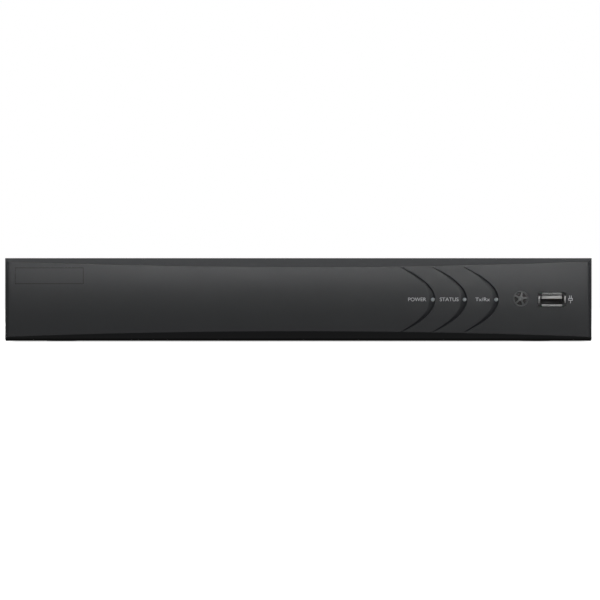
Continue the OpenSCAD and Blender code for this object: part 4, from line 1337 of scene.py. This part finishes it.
@dataclass
class Front(Assembly):
    """The moulded front with its lamps, remote window, USB mouth and small legends."""

    bow: float = 4.2
    edge_radius: float = 2.8
    film: float = 0.03
    legend_height: float = 1.95
    legends: tuple[tuple[str, float, float], ...] = (
        ("POWER", -8.45, 9.6),
        ("STATUS", -8.3, 10.0),
        ("Tx/Rx", -7.35, 7.8),
    )
    usb_after_lamp: float = 30.0
    mark_after_usb: float = 9.9
    badge_inset: Flat = (23.9, 9.5)
    badge_half: Flat = (18.35, 4.25)
    badge_depth: float = 0.35
    seal_width: float = 0.45
    seal_lengths: int = 8
    tongue_drop: float = 0.4
    lens_radii: Flat = (1.5, 3.4)
    lens_gap: float = 0.5
    lens_depths: Flat = (1.2, 1.37)
    lens_count: int = 5
    first_lens: float = 43.0
    usb_contacts: tuple[float, ...] = (-3.5, -1.0, 1.0, 3.5)
    usb_springs: Flat = (-2.6, 2.6)
    shell_half: Flat = (6.6, 2.75)
    coats = (
        (Stock.bezel, 0.22, "front_bezel"),
        (Stock.lamp, 0.12, "power_light_pipe", "status_light_pipe", "network_light_pipe"),
        (Stock.wheel, 0.1, "ir_window"),
        (Stock.upright_board, 0.0, "front_board"),
        (Stock.diode, 0.0, "indicator_leds"),
        (Stock.window, 0.15, "ir_receiver"),
        (Stock.socket_steel, 0.08, "usb_shells"),
        (Stock.pale, 0.12, "usb_insulators"),
    )

    def build(self, shop: Workshop) -> None:
        """Adds the front's pieces."""
        self.low, self.high = shop.box("front_bezel")
        reach = self.high.x - self.edge_radius
        self.bend = (reach**2 + self.bow**2) / (2 * self.bow)
        self.middle = shop.centre("power_light_pipe").z
        self.print_legends(shop)
        self.badge_edge(shop)
        self.window_lenses(shop)
        self.usb_sockets(shop)

    def face(self, x: float) -> float:
        """The front face's Y at that X."""
        return self.low.y + self.bend - math.sqrt(self.bend**2 - x**2)

    def print_legends(self, shop: Workshop) -> None:
        """One word beside each lamp, and a plug sign beside the USB mouth."""
        lamps = ("power_light_pipe", "status_light_pipe", "network_light_pipe")
        for lamp, (word, offset, width) in zip(lamps, self.legends):
            x = shop.centre(lamp).x + offset
            shape = Shape().lettering(word, (x, self.middle + 0.1), self.legend_height, width)
            shape.print_on(self.face, self.film, Facing.FRONT)
            shop.add("legend_" + lamp.split("_")[0], shape, Stock.ink, "power_light_pipe")
        x = shop.centre(lamps[-1]).x + self.usb_after_lamp + self.mark_after_usb
        shape = Shape()
        shape.sign(Sign.PLUG, (x, self.middle + 0.2), 4.0)
        shape.print_on(self.face, self.film, Facing.FRONT)
        shop.add("legend_usb", shape, Stock.ink, "power_light_pipe")

    def badge_edge(self, shop: Workshop) -> None:
        """A painted shadow round the blank badge recess: a near-black line laid in short lengths that follow the bow.
        """
        x, z = self.low.x + self.badge_inset[0], self.high.z - self.badge_inset[1]
        w, h = self.badge_half
        shape = Shape()
        step = 2 * w / self.seal_lengths
        for level in (z - h, z + h):
            for k in range(self.seal_lengths):
                shape.bar((x - w + k * step, level), (x - w + (k + 1) * step, level), self.seal_width)
        for side in (x - w, x + w):
            shape.bar((side, z - h), (side, z + h), self.seal_width)
        # painted shadow: the near-black line stands in for the shade of a gap round the recess
        shape.print_on(lambda at: self.face(at) + self.badge_depth, self.film, Facing.FRONT)
        shop.add("badge_shadow", shape, Stock.seal, "front_bezel")

    def window_lenses(self, shop: Workshop) -> None:
        """Five smoked lenses in the window's pockets."""
        low, high = shop.box("ir_window")
        x, z = (low.x + high.x) / 2, (low.z + high.z) / 2
        face = self.face(x)
        inner, outer = self.lens_radii
        share = 360 / self.lens_count
        turns = [share / 2 - math.degrees(math.asin(self.lens_gap / radius)) for radius in (outer, inner)]
        near, far = self.lens_depths
        shape = Shape()
        for i in range(self.lens_count):
            middle = self.first_lens + share * i
            outline = arc((x, z), outer, middle - turns[0], middle + turns[0], 8)
            outline += arc((x, z), inner, middle + turns[1], middle - turns[1], 4)
            shape.prism(outline, Axis.Y, face + near, face + far)
        shop.add("window_lenses", shape, Stock.window, "ir_window", 0.12)

    def usb_sockets(self, shop: Workshop) -> None:
        """Gold contacts on each USB tongue, the shell's springs, its back wall, and near-black blocks in its corner
        slots as painted shade.
        """
        for (low, high), facing in zip(shop.solids("usb_shells"), (Facing.REAR, Facing.FRONT)):
            name = facing.name.lower()
            x, _, z = (low + high) / 2
            mouth = low.y if facing is Facing.FRONT else high.y
            strips, springs, wall, corner_shades = Shape(), Shape(), Shape(), Shape()

            def fill(shape: Shape, at: Flat, half: Flat, depths: Flat, edge: float) -> None:
                """Adds a block between two depths behind the mouth, at a place seen from the front."""
                near, far = (mouth - facing.value * depth for depth in depths)
                low = (x + at[0] - half[0], near, z + at[1] - half[1])
                high = (x + at[0] + half[0], far, z + at[1] + half[1])
                shape.block(low, high, edge)

            for offset in self.usb_contacts:
                fill(strips, (offset, self.tongue_drop - 0.03), (0.45, 0.05), (2.5, 11.0), 0.03)
            for side in (-1, 1):
                for offset in self.usb_springs:
                    fill(springs, (offset, side * 2.69), (0.9, 0.07), (3.7, 8.5), 0.05)
                # painted shade: near-black blocks in the shell's four corner slots stand in for the shade there
                for level in (-1, 1):
                    corner = (side * self.shell_half[0], level * self.shell_half[1])
                    fill(corner_shades, corner, (1.05, 0.75), (0.6, 1.85), 0.1)
            for level, half in ((-1.15, 1.5), (2.4, 0.25)):
                fill(wall, (0.0, level), (6.4, half), (11.5, 12.4), 0.05)
            shop.add(f"usb_corner_shades_{name}", corner_shades, Stock.seal, "switch_housing")
            shop.add(f"usb_wall_{name}", wall, Stock.black, "usb_insulators")
            shop.add(f"usb_contacts_{name}", strips, Stock.gold, "bnc_contacts")
            shop.add(f"usb_springs_{name}", springs, Stock.socket_steel, "usb_shells")


@dataclass
class Case(Assembly):
    """Tray, cover, feet and case screws."""

    label_corners: tuple[Flat, Flat] = ((-30, 8), (40, 44))
    coats = (
        (Stock.shell, 0.12, "chassis_tray"),
        (Stock.shell, 0.35, "top_cover"),
        (Stock.black_steel, 0.12, "cover_screws"),
        (Stock.rubber, 0.4, "rubber_feet"),
        (Stock.steel, 0.12, "ground_screw"),
    )

    def build(self, shop: Workshop) -> None:
        """Adds the blank rating label under the tray."""
        floor = shop.box("chassis_tray")[0].z
        near, far = self.label_corners
        plate = Shape().block((*near, floor - 0.08), (*far, floor + 0.02))
        shop.add("blank_label", plate, Stock.label, "chassis_tray")


@dataclass
class RearRow(Assembly):
    """The rear connectors and the signs printed round them."""

    film: float = 0.03
    number_height: float = 2.0
    terminal_inset: float = 3.4
    network_ways: int = 8
    network_pitch: float = 1.02
    signs: tuple[tuple[Sign, str, float, float], ...] = (
        (Sign.SIGNAL_IN, "rca_shells", 3.1, 3.0),
        (Sign.SCREEN, "vga_shell", 3.2, 3.8),
        (Sign.SCREEN, "hdmi_shell", 4.4, 4.2),
        (Sign.NETWORK, "lan_shield", 2.3, 3.2),
        (Sign.DIRECT_CURRENT, "dc_jack", 2.4, 4.2),
        (Sign.EARTH, "ground_screw", 3.0, 3.6),
    )
    coats = (
        (Stock.nickel, 0.1, "bnc_shells", "rca_shells", "vga_shell", "vga_jackscrews"),
        (Stock.nickel, 0.1, "hdmi_shell", "lan_shield", "dc_jack_pin"),
        (Stock.black, 0.2, "bnc_housings", "rca_housing", "hdmi_insulator"),
        (Stock.black, 0.2, "lan_insert", "dc_jack", "switch_housing"),
        (Stock.black, 0.3, "power_rocker"),
        (Stock.white, 0.1, "bnc_insulators"),
        (Stock.gold, 0.08, "bnc_contacts"),
        (Stock.blue, 0.0, "vga_insulator"),
        (Stock.green, 0.2, "terminal_block"),
        (Stock.orange, 0.25, "terminal_lever_a", "terminal_lever_b"),
    )

    def build(self, shop: Workshop) -> None:
        """Adds the rear's pieces."""
        self.print_signs(shop)
        self.network(shop)

    def print_signs(self, shop: Workshop) -> None:
        """Numbers over the video inputs, letters over the terminals, and a sign over each other connector."""

        def over(box: Box, lift: float) -> Flat:
            """The place that far above a connector, as seen from the rear."""
            return -(box[0].x + box[1].x) / 2, box[1].z + lift

        shape = Shape()
        output, *inputs = shop.solids("bnc_shells")
        inputs.sort(key=lambda b: (-b[0].x, -b[0].z))
        for number, box in enumerate(inputs, 1):
            shape.lettering(str(number), over(box, 1.75), self.number_height)
        shape.sign(Sign.SIGNAL_OUT, over(output, 2.2), 3.0)
        shape.sign(Sign.PLUG, over(shop.solids("usb_shells")[0], 4.4), 4.4)
        for sign, node, lift, size in self.signs:
            shape.sign(sign, over(shop.box(node), lift), size)
        low, high = shop.box("terminal_block")
        for letter, x in zip("AB", (high.x - self.terminal_inset, low.x + self.terminal_inset)):
            shape.lettering(letter, (-x, high.z + 2.4), self.number_height)
        wall = shop.box("chassis_tray")[1].y
        shape.print_on(lambda _: wall, self.film, Facing.REAR)
        shape.mirrored(0.0)
        shop.add("rear_signs", shape, Stock.ink, "power_light_pipe")

    def network(self, shop: Workshop) -> None:
        """Eight gold wires, which slope down into the network socket."""
        low, high = shop.box("lan_insert")
        middle = (low + high) / 2
        wires = Shape()
        bends = ((2.5, 3.55), (4.5, 3.2), (11.5, 0.6))
        for i in range(self.network_ways):
            x = middle.x + (i - (self.network_ways - 1) / 2) * self.network_pitch
            wires.tube([(x, high.y - depth, middle.z + rise) for depth, rise in bends], 0.2, 6)
        shop.add("network_contacts", wires, Stock.gold, "bnc_contacts")

    def dress(self, shop: Workshop) -> None:
        """Finishes the rear's nodes, and the stacked audio sockets in two colours."""
        super().dress(shop)
        split = shop.centre("rca_inserts").z
        sockets = TwoTone("audio_colours", (0.78, 0.78, 0.76), (0.55, 0.02, 0.02), split)
        shop.dress("rca_inserts", sockets, 0.15)


@dataclass
class MainBoard(Assembly):
    """The main board and what is soldered to it."""

    chip_parts: int = 190
    spare: float = 0.7
    leg_pitch: float = 0.8
    legged: float = 13.5
    can_top: float = 0.86
    crystals: tuple[Flat, ...] = ((-14.0, 76.0), (-62.0, 84.0), (78.0, 70.0))
    print_line: float = 0.09
    disk_socket: float = 14.0
    data_ways: int = 7
    least_legged: float = 5.5
    ball_chip: Flat = (9.0, 12.0)
    transformer_half: Flat = (6.4, 3.5)
    transformer_tall: float = 4.8
    transformer_ways: int = 8
    transformer_behind: float = 5.6
    row_half: float = 3.2
    coats = (
        (Stock.board, 0.0, "mainboard"),
        (Stock.steel, 0.12, "board_screws"),
        (Stock.package, 0.15, "processor"),
        (Stock.anodised, 0.12, "heatsink"),
        (Stock.package, 0.12, "board_chips"),
        (Stock.sleeve, 0.35, "capacitors"),
        (Stock.ferrite, 0.2, "inductors"),
        (Stock.black, 0.2, "battery_holder"),
        (Stock.steel, 0.25, "rtc_battery"),
        (Stock.black, 0.3, "buzzer"),
        (Stock.ivory, 0.15, "board_headers"),
    )

    def build(self, shop: Workshop) -> None:
        """Adds the board's pieces."""
        self.low, self.high = shop.box("mainboard")
        self.top = self.high.z
        self.taken = self.keep_out(shop)
        self.legs(shop)
        self.cans(shop)
        self.small_parts(shop)
        self.network_transformer(shop)
        self.crystal_cans(shop)
        self.header_pins(shop)
        self.battery_clip(shop)
        self.outlines(shop)
        self.choke_ends(shop)

    def keep_out(self, shop: Workshop) -> list[Box]:
        """The boxes of everything that already stands on the board."""
        nodes = ("heatsink", "board_chips", "capacitors", "inductors", "battery_holder", "buzzer")
        nodes += ("board_headers", "board_screws", "bnc_housings", "rca_housing", "vga_insulator")
        nodes += ("hdmi_shell", "usb_shells", "lan_shield", "terminal_block", "dc_jack", "switch_housing")
        boxes = [box for node in nodes for box in shop.solids(node)]
        low, high = shop.box("front_ribbon_cable")
        return boxes + [(Vector((low.x, self.low.y, self.top)), Vector((high.x, self.low.y + 18, self.top)))]

    def free(self, x: float, y: float, half: float) -> bool:
        """Whether a square of that half width has room at that place on the board.

        Args:
            x: its middle.
            y: its middle.
            half: its half width.

        Returns:
            True if nothing stands there.
        """
        reach = half + self.spare

        def inside(low: Vector, high: Vector, room: float) -> bool:
            """Whether the place lies in a box that is grown by that room."""
            return low.x - room < x < high.x + room and low.y - room < y < high.y + room

        clear = not any(inside(low, high, reach) for low, high in self.taken)
        return inside(self.low, self.high, -reach) and clear

    def small_parts(self, shop: Workshop) -> None:
        """Resistors and ceramic capacitors in short rows, with tinned ends."""
        bodies = {Stock.resistor: Shape(), Stock.ceramic: Shape()}
        ends = Shape()
        placed = 0
        for _ in range(self.chip_parts * 12):
            if placed >= self.chip_parts:
                break
            x = random.uniform(self.low.x, self.high.x)
            y = random.uniform(self.low.y, self.high.y)
            upright = random.random() < 0.5
            finish = random.choice(list(bodies))
            size = random.choice((0.8, 1.0, 1.6))
            if not self.free(x, y, self.row_half):
                continue
            for k in range(random.choice((2, 3, 4))):
                step = size * 1.6 * k - 2.4
                at = (x + step, y) if upright else (x, y + step)
                self.chip_part(bodies[finish], ends, at, size, upright)
                placed += 1
            half = self.row_half
            self.taken.append((Vector((x - half, y - half, 0)), Vector((x + half, y + half, 0))))
        for finish, shape in bodies.items():
            shop.add(finish.label + "_parts", shape, finish, "board_chips")
        shop.add("tinned_ends", ends, Stock.solder, "board_screws")

    def chip_part(self, body: Shape, ends: Shape, at: Flat, size: float, upright: bool) -> None:
        """One part: a small body between two tinned ends.

        Args:
            body: the shape that its body goes into.
            ends: the shape that its ends go into.
            at: its middle on the board.
            size: its length.
            upright: whether it lies along Y.
        """
        half = Vector((size / 4, size / 2)) if upright else Vector((size / 2, size / 4))
        tip = Vector((half.x, size * 0.12)) if upright else Vector((size * 0.12, half.y))
        x, y = at
        tall, grow = size * 0.45, 0.04
        body.block((x - half.x, y - half.y, self.top - 0.02), (x + half.x, y + half.y, self.top + tall), 0.05)
        for side in (-1, 1):
            cx = x if upright else x + side * (half.x - tip.x)
            cy = y + side * (half.y - tip.y) if upright else y
            low = (cx - tip.x - grow, cy - tip.y - grow, self.top - 0.02)
            ends.block(low, (cx + tip.x + grow, cy + tip.y + grow, self.top + tall + grow), 0.05)

    def legs(self, shop: Workshop) -> None:
        """Gull-wing legs round each large chip, and a dimple at its first leg."""
        shape = Shape()
        dimples = Shape()
        for low, high in shop.solids("board_chips"):
            wide, deep = high.x - low.x, high.y - low.y
            mark = (low.x + 1.3, high.y - 1.3, high.z)
            dimples.turned(((0, 0.015), (0.45, 0.015), (0.5, -0.05)), mark, Axis.Z, 16)
            on_balls = wide == self.ball_chip[0] and deep > self.ball_chip[1]
            if min(wide, deep) < self.least_legged or on_balls:
                continue
            middle = (low + high) / 2
            for axis in (Axis.X, Axis.Y) if wide >= self.legged else (Axis.X,):
                reach, span = (wide, deep) if axis is Axis.X else (deep, wide)
                count = int((span - 1.4) / self.leg_pitch)
                bends = ((-0.05, 0.75), (0.35, 0.72), (0.55, 0.12), (1.1, 0.1))
                self.leg_rows(shape, middle, axis, reach / 2, self.leg_pitch, count, bends, 0.13)
        shop.add("chip_legs", shape, Stock.solder, "board_screws")
        shop.add("chip_dimples", dimples, Stock.black, "board_chips")

    def leg_rows(
        self,
        shape: Shape,
        middle: Vector,
        axis: Axis,
        reach: float,
        pitch: float,
        count: int,
        bends: Sequence[Flat],
        radius: float,
    ) -> None:
        """Adds bent legs in a row on two opposite sides of a package.

        Args:
            shape: the shape that they go into.
            middle: the package's middle.
            axis: the direction that they point along.
            reach: half of the package's size that way.
            pitch: from one leg to the next.
            count: how many there are in a row.
            bends: each bend's distance from the package and height over the board.
            radius: a leg's radius.
        """
        for k in range(count):
            along = (k - (count - 1) / 2) * pitch
            for side in (-1, 1):
                path = []
                for out, rise in bends:
                    across = side * (reach + out)
                    dx, dy = (across, along) if axis is Axis.X else (along, across)
                    path.append((middle.x + dx, middle.y + dy, self.top + rise))
                shape.tube(path, radius, 4)

    def cans(self, shop: Workshop) -> None:
        """Bare aluminium tops, with their relief grooves, and a pale stripe down each capacitor's side."""
        tops = Shape()
        stripes = Shape()
        for low, high in shop.solids("capacitors"):
            centre = (low + high) / 2
            radius = (high.x - low.x) / 2
            at = (centre.x, centre.y, high.z)
            rim = radius * self.can_top
            tops.turned(((0, 0.03), (rim * 0.97, 0.03), (rim, -0.02), (rim, -0.1)), at, Axis.Z, 40)
            for turn in (45, 135):
                a = math.radians(turn)
                run = Vector((math.cos(a), math.sin(a), 0)) * rim * 0.75
                top = Vector((*at[:2], high.z + 0.035))
                tops.tube((top - run, top + run), 0.05, 4)
            outline = arc((centre.x, centre.y), radius + 0.03, 200, 250, 8)
            outline += arc((centre.x, centre.y), radius - 0.2, 250, 200, 8)
            stripes.prism(outline, Axis.Z, low.z + 0.4, high.z - 0.6)
        shop.add("capacitor_tops", tops, Stock.can, "capacitors")
        shop.add("capacitor_stripes", stripes, Stock.ink, "capacitors")

    def network_transformer(self, shop: Workshop) -> None:
        """The black module behind the network socket."""
        low, high = shop.box("lan_shield")
        x, y = (low.x + high.x) / 2, low.y - self.transformer_behind
        w, d = self.transformer_half
        shape = Shape().block((x - w, y - d, self.top), (x + w, y + d, self.top + self.transformer_tall), 0.25)
        shop.add("network_transformer", shape, Stock.package, "board_chips")
        legs = Shape()
        bends = ((-0.05, 1.5), (0.4, 1.45), (0.6, 0.15), (1.2, 0.12))
        middle = Vector((x, y, 0))
        self.leg_rows(legs, middle, Axis.Y, d, FINE_PITCH, self.transformer_ways, bends, 0.17)
        shop.add("transformer_legs", legs, Stock.solder, "board_screws")

    def crystal_cans(self, shop: Workshop) -> None:
        """Low metal crystal cans with a flange."""
        shape = Shape()
        for x, y in self.crystals:
            for length, width, low, high in ((11.2, 4.8, 0.0, 0.5), (10.2, 3.8, 0.4, 3.4)):
                outline = []
                for turn, side in ((-90, 1), (90, -1)):
                    middle = (x + side * (length - width) / 2, y)
                    outline += arc(middle, width / 2, turn, turn + 180, 10)
                shape.prism(outline, Axis.Z, self.top + low, self.top + high)
        shop.add("crystal_cans", shape, Stock.can, "board_screws", 0.3)

    def header_pins(self, shop: Workshop) -> None:
        """Contacts in the two disk sockets and the keyed tongue that carries them."""
        pins = Shape()
        tongues = Shape()
        for low, high in shop.solids("board_headers"):
            if abs((high.x - low.x) - self.disk_socket) > 0.2:
                continue
            x = (low.x + high.x) / 2
            z = low.z + 4.1
            tongues.block((x - 4.3, low.y + 0.4, z - 0.6), (x + 4.3, low.y + 6.2, z + 0.5), 0.08)
            for k in range(self.data_ways):
                along = x + (k - (self.data_ways - 1) / 2) * FINE_PITCH
                pins.block((along - 0.3, low.y + 0.6, z + 0.45), (along + 0.3, low.y + 6.0, z + 0.62), 0.04)
        shop.add("socket_tongues", tongues, Stock.ivory, "board_headers")
        shop.add("socket_pins", pins, Stock.gold, "bnc_contacts")

    def battery_clip(self, shop: Workshop) -> None:
        """A sprung strip over the clock battery, and its plus sign."""
        low, high = shop.box("rtc_battery")
        x, y, z = (low.x + high.x) / 2, (low.y + high.y) / 2, high.z
        clip = Shape().block((x + 1.5, y - 1.6, z + 0.02), (x + 12.5, y + 1.6, z + 0.3), 0.08)
        clip.block((x + 12.2, y - 1.6, z - 1.6), (x + 12.6, y + 1.6, z + 0.3), 0.08)
        shop.add("battery_clip", clip, Stock.nickel, "rtc_battery")
        sign = Shape()
        for dx, dy in ((1.5, 0.25), (0.25, 1.5)):
            sign.block((x - 4 - dx, y - dy, z - 0.02), (x - 4 + dx, y + dy, z + 0.02))
        shop.add("battery_sign", sign, Stock.package, "rtc_battery")

    def outlines(self, shop: Workshop) -> None:
        """Printed outlines round the chips and the cans."""
        shape = Shape()
        line = self.print_line
        for node, margin in (("board_chips", 1.6), ("inductors", 0.7), ("capacitors", 0.6), ("buzzer", 0.8)):
            for low, high in shop.solids(node):
                x0, x1 = low.x - margin, high.x + margin
                y0, y1 = low.y - margin, high.y + margin
                for a, b, c, d in ((x0, y0, x1, y0), (x0, y1, x1, y1), (x0, y0, x0, y1), (x1, y0, x1, y1)):
                    shape.block((a - line, b - line, self.top - 0.02), (c + line, d + line, self.top + 0.015))
        shop.add("board_outlines", shape, Stock.ink, "mainboard")

    def choke_ends(self, shop: Workshop) -> None:
        """The two tinned end plates of each moulded choke, bent under its body."""
        shape = Shape()
        for low, high in shop.solids("inductors"):
            y = (low.y + high.y) / 2
            for x, out in ((low.x, -1), (high.x, 1)):
                shape.block((x - out * 0.1, y - 2, low.z + 0.05), (x + out * 0.12, y + 2, low.z + 1.8), 0.04)
        shop.add("choke_ends", shape, Stock.solder, "inductors")


@dataclass
class Fan(Assembly):
    """The 40 mm fan."""

    blades: int = 7
    chord: Flat = (7.6, 9.4)
    pitch: Flat = (50.0, 33.0)
    sweep: float = 26.0
    blade_length: float = 8.75
    blade_level: float = 3.3
    blade_rise: float = 3.2
    camber: float = 0.55
    hub_depth: float = 7.2
    thickness: float = 0.7
    coats = (
        (Stock.black, 0.25, "fan_frame"),
        (Stock.black_steel, 0.12, "fan_screws"),
    )

    def build(self, shop: Workshop) -> None:
        """Adds a rotor with swept, twisted blades, and the fan's blank sticker."""
        low, high = shop.box("fan_rotor")
        frame_low, frame_high = shop.box("fan_frame")
        self.middle = ((frame_low.x + frame_high.x) / 2, (frame_low.z + frame_high.z) / 2)
        self.tip = (high.x - low.x) / 2 - 0.05
        self.hub = self.tip - self.blade_length
        base = high.y - self.hub_depth
        shape = Shape()
        centre = (self.middle[0], base, self.middle[1])
        r, d = self.hub, self.hub_depth
        side = ((0, 0.0), (r - 0.4, 0.0), (r, 0.4), (r, d - 0.6))
        dish = ((r - 0.6, d), (r - 1.6, d), (r - 1.7, d - 0.2), (0, d - 0.2))
        shape.turned(side + dish, centre, Axis.Y, 64)
        axle = frame_low.y + 0.25 - base
        shape.turned(((0.95, axle), (0.95, 0.1)), centre, Axis.Y, 24)
        for k in range(self.blades):
            self.blade(shape, base + self.blade_level, 360 * k / self.blades)
        rotor = shop.add("swept_rotor", shape, Stock.black, "fan_rotor", body="fan_rotor")
        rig.replaces(rotor, "fan_rotor")
        paper = ((0, d - 0.14), (r - 2.2, d - 0.14), (r - 2.2, d - 0.25))
        disc = Shape().turned(paper, centre, Axis.Y, 48)
        shop.add("fan_sticker", disc, Stock.label, "fan_rotor", body="fan_rotor")
        loop = ((r - 4.2, d - 0.17), (r - 4.2, d - 0.1), (r - 2.9, d - 0.1), (r - 2.9, d - 0.17))
        ring = Shape().turned(loop, centre, Axis.Y, 48)
        shop.add("fan_sticker_ring", ring, Stock.band, "fan_rotor", body="fan_rotor")

    def blade(self, shape: Shape, level: float, turn: float) -> None:
        """Adds one blade, as a closed twisted sheet.

        Args:
            shape: the shape that it goes into.
            level: the Y of its middle.
            turn: its angle round the hub, in degrees.
        """
        spans, chords = 8, 7
        grid: list[list[list[bmesh.types.BMVert]]] = []
        for side in (-1, 1):
            sheet = []
            for i in range(spans + 1):
                u = i / spans
                radius = self.hub - 0.4 + (self.tip - self.hub + 0.4) * u
                pitch = math.radians(self.pitch[0] + (self.pitch[1] - self.pitch[0]) * u)
                chord = self.chord[0] + (self.chord[1] - self.chord[0]) * u
                row = []
                for j in range(chords + 1):
                    v = 2 * j / chords - 1
                    thick = side * self.thickness / 2 * (1 - 0.75 * abs(v) ** 3)
                    camber = self.camber * (1 - v * v)
                    run = v * chord / 2 * math.cos(pitch) - (thick + camber) * math.sin(pitch)
                    rise = v * chord / 2 * math.sin(pitch) + (thick + camber) * math.cos(pitch)
                    rise = max(-self.blade_rise, min(self.blade_rise, rise))
                    a = math.radians(turn + self.sweep * u * u) + run / radius
                    x = self.middle[0] + radius * math.cos(a)
                    z = self.middle[1] + radius * math.sin(a)
                    row.append(shape.mesh.verts.new((x, level + rise, z)))
                sheet.append(row)
            grid.append(sheet)
        back, front = grid
        quads = []
        for i in range(spans):
            for j in range(chords):
                quads.append((back[i][j], back[i + 1][j], back[i + 1][j + 1], back[i][j + 1]))
                quads.append((front[i][j + 1], front[i + 1][j + 1], front[i + 1][j], front[i][j]))
        for i in range(spans):
            for j in (0, chords):
                quads.append((back[i][j], front[i][j], front[i + 1][j], back[i + 1][j]))
        for j in range(chords):
            for i in (0, spans):
                quads.append((back[i][j], front[i][j], front[i][j + 1], back[i][j + 1]))
        made = [shape.mesh.faces.new(quad) for quad in quads]
        bmesh.ops.recalc_face_normals(shape.mesh, faces=made)


@dataclass
class Disk(Assembly):
    """The 3.5 inch hard disk."""

    label_size: Flat = (34.0, 84.0)
    screw_inset: float = 5.0
    deck_rise: float = 0.8
    finger_ways: int = 7
    finger_middle: float = 6.5
    coats = (
        (Stock.casting, 0.4, "hdd_base"),
        (Stock.lid, 0.3, "hdd_lid"),
        (Stock.arm, 0.1, "hdd_actuator"),
        (Stock.nickel, 0.15, "hdd_magnets"),
        (Stock.board, 0.0, "hdd_board"),
        (Stock.steel, 0.12, "hdd_screws"),
    )

    def build(self, shop: Workshop) -> None:
        """Adds the disk's pieces."""
        low, high = shop.box("hdd_lid")
        deck = shop.box("hdd_base")[1].z + self.deck_rise
        self.lid_screws(shop, low, high, deck)
        self.label(shop, low, high, deck)
        self.fingers(shop)

    def lid_screws(self, shop: Workshop, low: Vector, high: Vector, deck: float) -> None:
        """Six low screws with a round recess, at the lid's edge.

        Args:
            shop: the workshop.
            low: the lid's lowest corner.
            high: its highest corner.
            deck: the height of its flat face.
        """
        shape = Shape()
        inset = self.screw_inset
        middle = (low.x + high.x) / 2
        profile = ((0, 0.12), (0.9, 0.12), (1.0, 0.5), (2.0, 0.5), (2.4, 0.3), (2.5, -0.05))
        for x in (low.x + inset, middle, high.x - inset):
            for y in (low.y + inset, high.y - inset):
                shape.turned(profile, (x, y, deck), Axis.Z, 28)
        shop.add("lid_screws", shape, Stock.steel, "hdd_screws")

    def label(self, shop: Workshop, low: Vector, high: Vector, deck: float) -> None:
        """A blank label beside the raised ring, with a coloured band."""
        w, d = self.label_size
        x0 = high.x - 6 - w
        y0 = (low.y + high.y) / 2 - d / 2
        plate = Shape().block((x0, y0 + 5, deck - 0.02), (x0 + w, y0 + d - 5, deck + 0.06))
        shop.add("disk_label", plate, Stock.label, "hdd_lid")
        band = Shape().block((x0 + 1, y0 + d - 18, deck), (x0 + w - 1, y0 + d - 8, deck + 0.085))
        shop.add("disk_label_band", band, Stock.band, "hdd_lid")

    def fingers(self, shop: Workshop) -> None:
        """Gold fingers on the disk's own edge connector."""
        low, high = shop.box("hdd_base")
        middle = shop.box("sata_data_cable")[0].y + self.finger_middle
        strips = Shape()
        for k in range(self.finger_ways):
            y = middle + (k - (self.finger_ways - 1) / 2) * FINE_PITCH
            strips.block((high.x - 6, y - 0.3, low.z + 3.9), (high.x - 0.6, y + 0.3, low.z + 4.1), 0.03)
        shop.add("disk_fingers", strips, Stock.gold, "bnc_contacts")

    def dress(self, shop: Workshop) -> None:
        """Finishes the disk's nodes, and its platters with rings round their own spindle."""
        super().dress(shop)
        spindle = shop.centre("hdd_platters")
        mirror = Platter("platter_mirror", (0.72, 0.72, 0.74), (spindle.x, spindle.y))
        shop.dress("hdd_platters", mirror, 0.1)


@dataclass
class Harness(Assembly):
    """The internal leads."""

    ribbon_ways: int = 14
    ribbon_width: float = 17.8
    wire_pitch: float = 1.95
    loom_corner: Point = (15.2, -6.1, 1.3)
    coats = ((Stock.red_wire, 0.2, "sata_data_cable"),)

    def build(self, shop: Workshop) -> None:
        """Adds the latch tab of the data lead's plug."""
        low, high = shop.box("sata_data_cable")
        left, right, end = high.x - 7.2, high.x - 2.8, high.y - 2.2
        tab = Shape()
        tab.block((left, high.y - 9.5, high.z - 0.1), (right, end, high.z + 0.35), 0.1)
        tab.block((left, high.y - 3.2, high.z + 0.1), (right, end, high.z + 0.9), 0.12)
        shop.add("data_plug_latch", tab, Stock.steel, "sata_data_cable")

    def dress(self, shop: Workshop) -> None:
        """Finishes the data lead, the ribbon in its own pitch and the loom in its stacked colours."""
        super().dress(shop)
        start = shop.centre("front_ribbon_cable").x - self.ribbon_width / 2
        pitch = self.ribbon_width / self.ribbon_ways
        shop.dress("front_ribbon_cable", RibbonSkin("grey_ribbon", (0.36, 0.36, 0.37), pitch, start), 0.1)
        disk_low, disk_high = shop.box("hdd_base")
        out, back, up = self.loom_corner
        corner = (disk_high.x + out, shop.box("mainboard")[0].y + back, disk_low.z + up)
        shop.dress("wire_leads", Loom("wire_loom", (0.02, 0.02, 0.02), corner, self.wire_pitch), 0.5)


def main() -> None:
    """Builds the studio and every sub-assembly, and writes the sizes."""
    logging.basicConfig(level=logging.INFO, format="%(message)s")
    random.seed(SEED)
    shop = Workshop()
    Studio().build()
    for assembly in (Case(), Front(), RearRow(), MainBoard(), Fan(), Disk(), Harness()):
        assembly.build(shop)
        assembly.dress(shop)
        LOG.info("%s finished", type(assembly).__name__)
    shop.write_sizes()


if __name__ == "__main__":
    main()
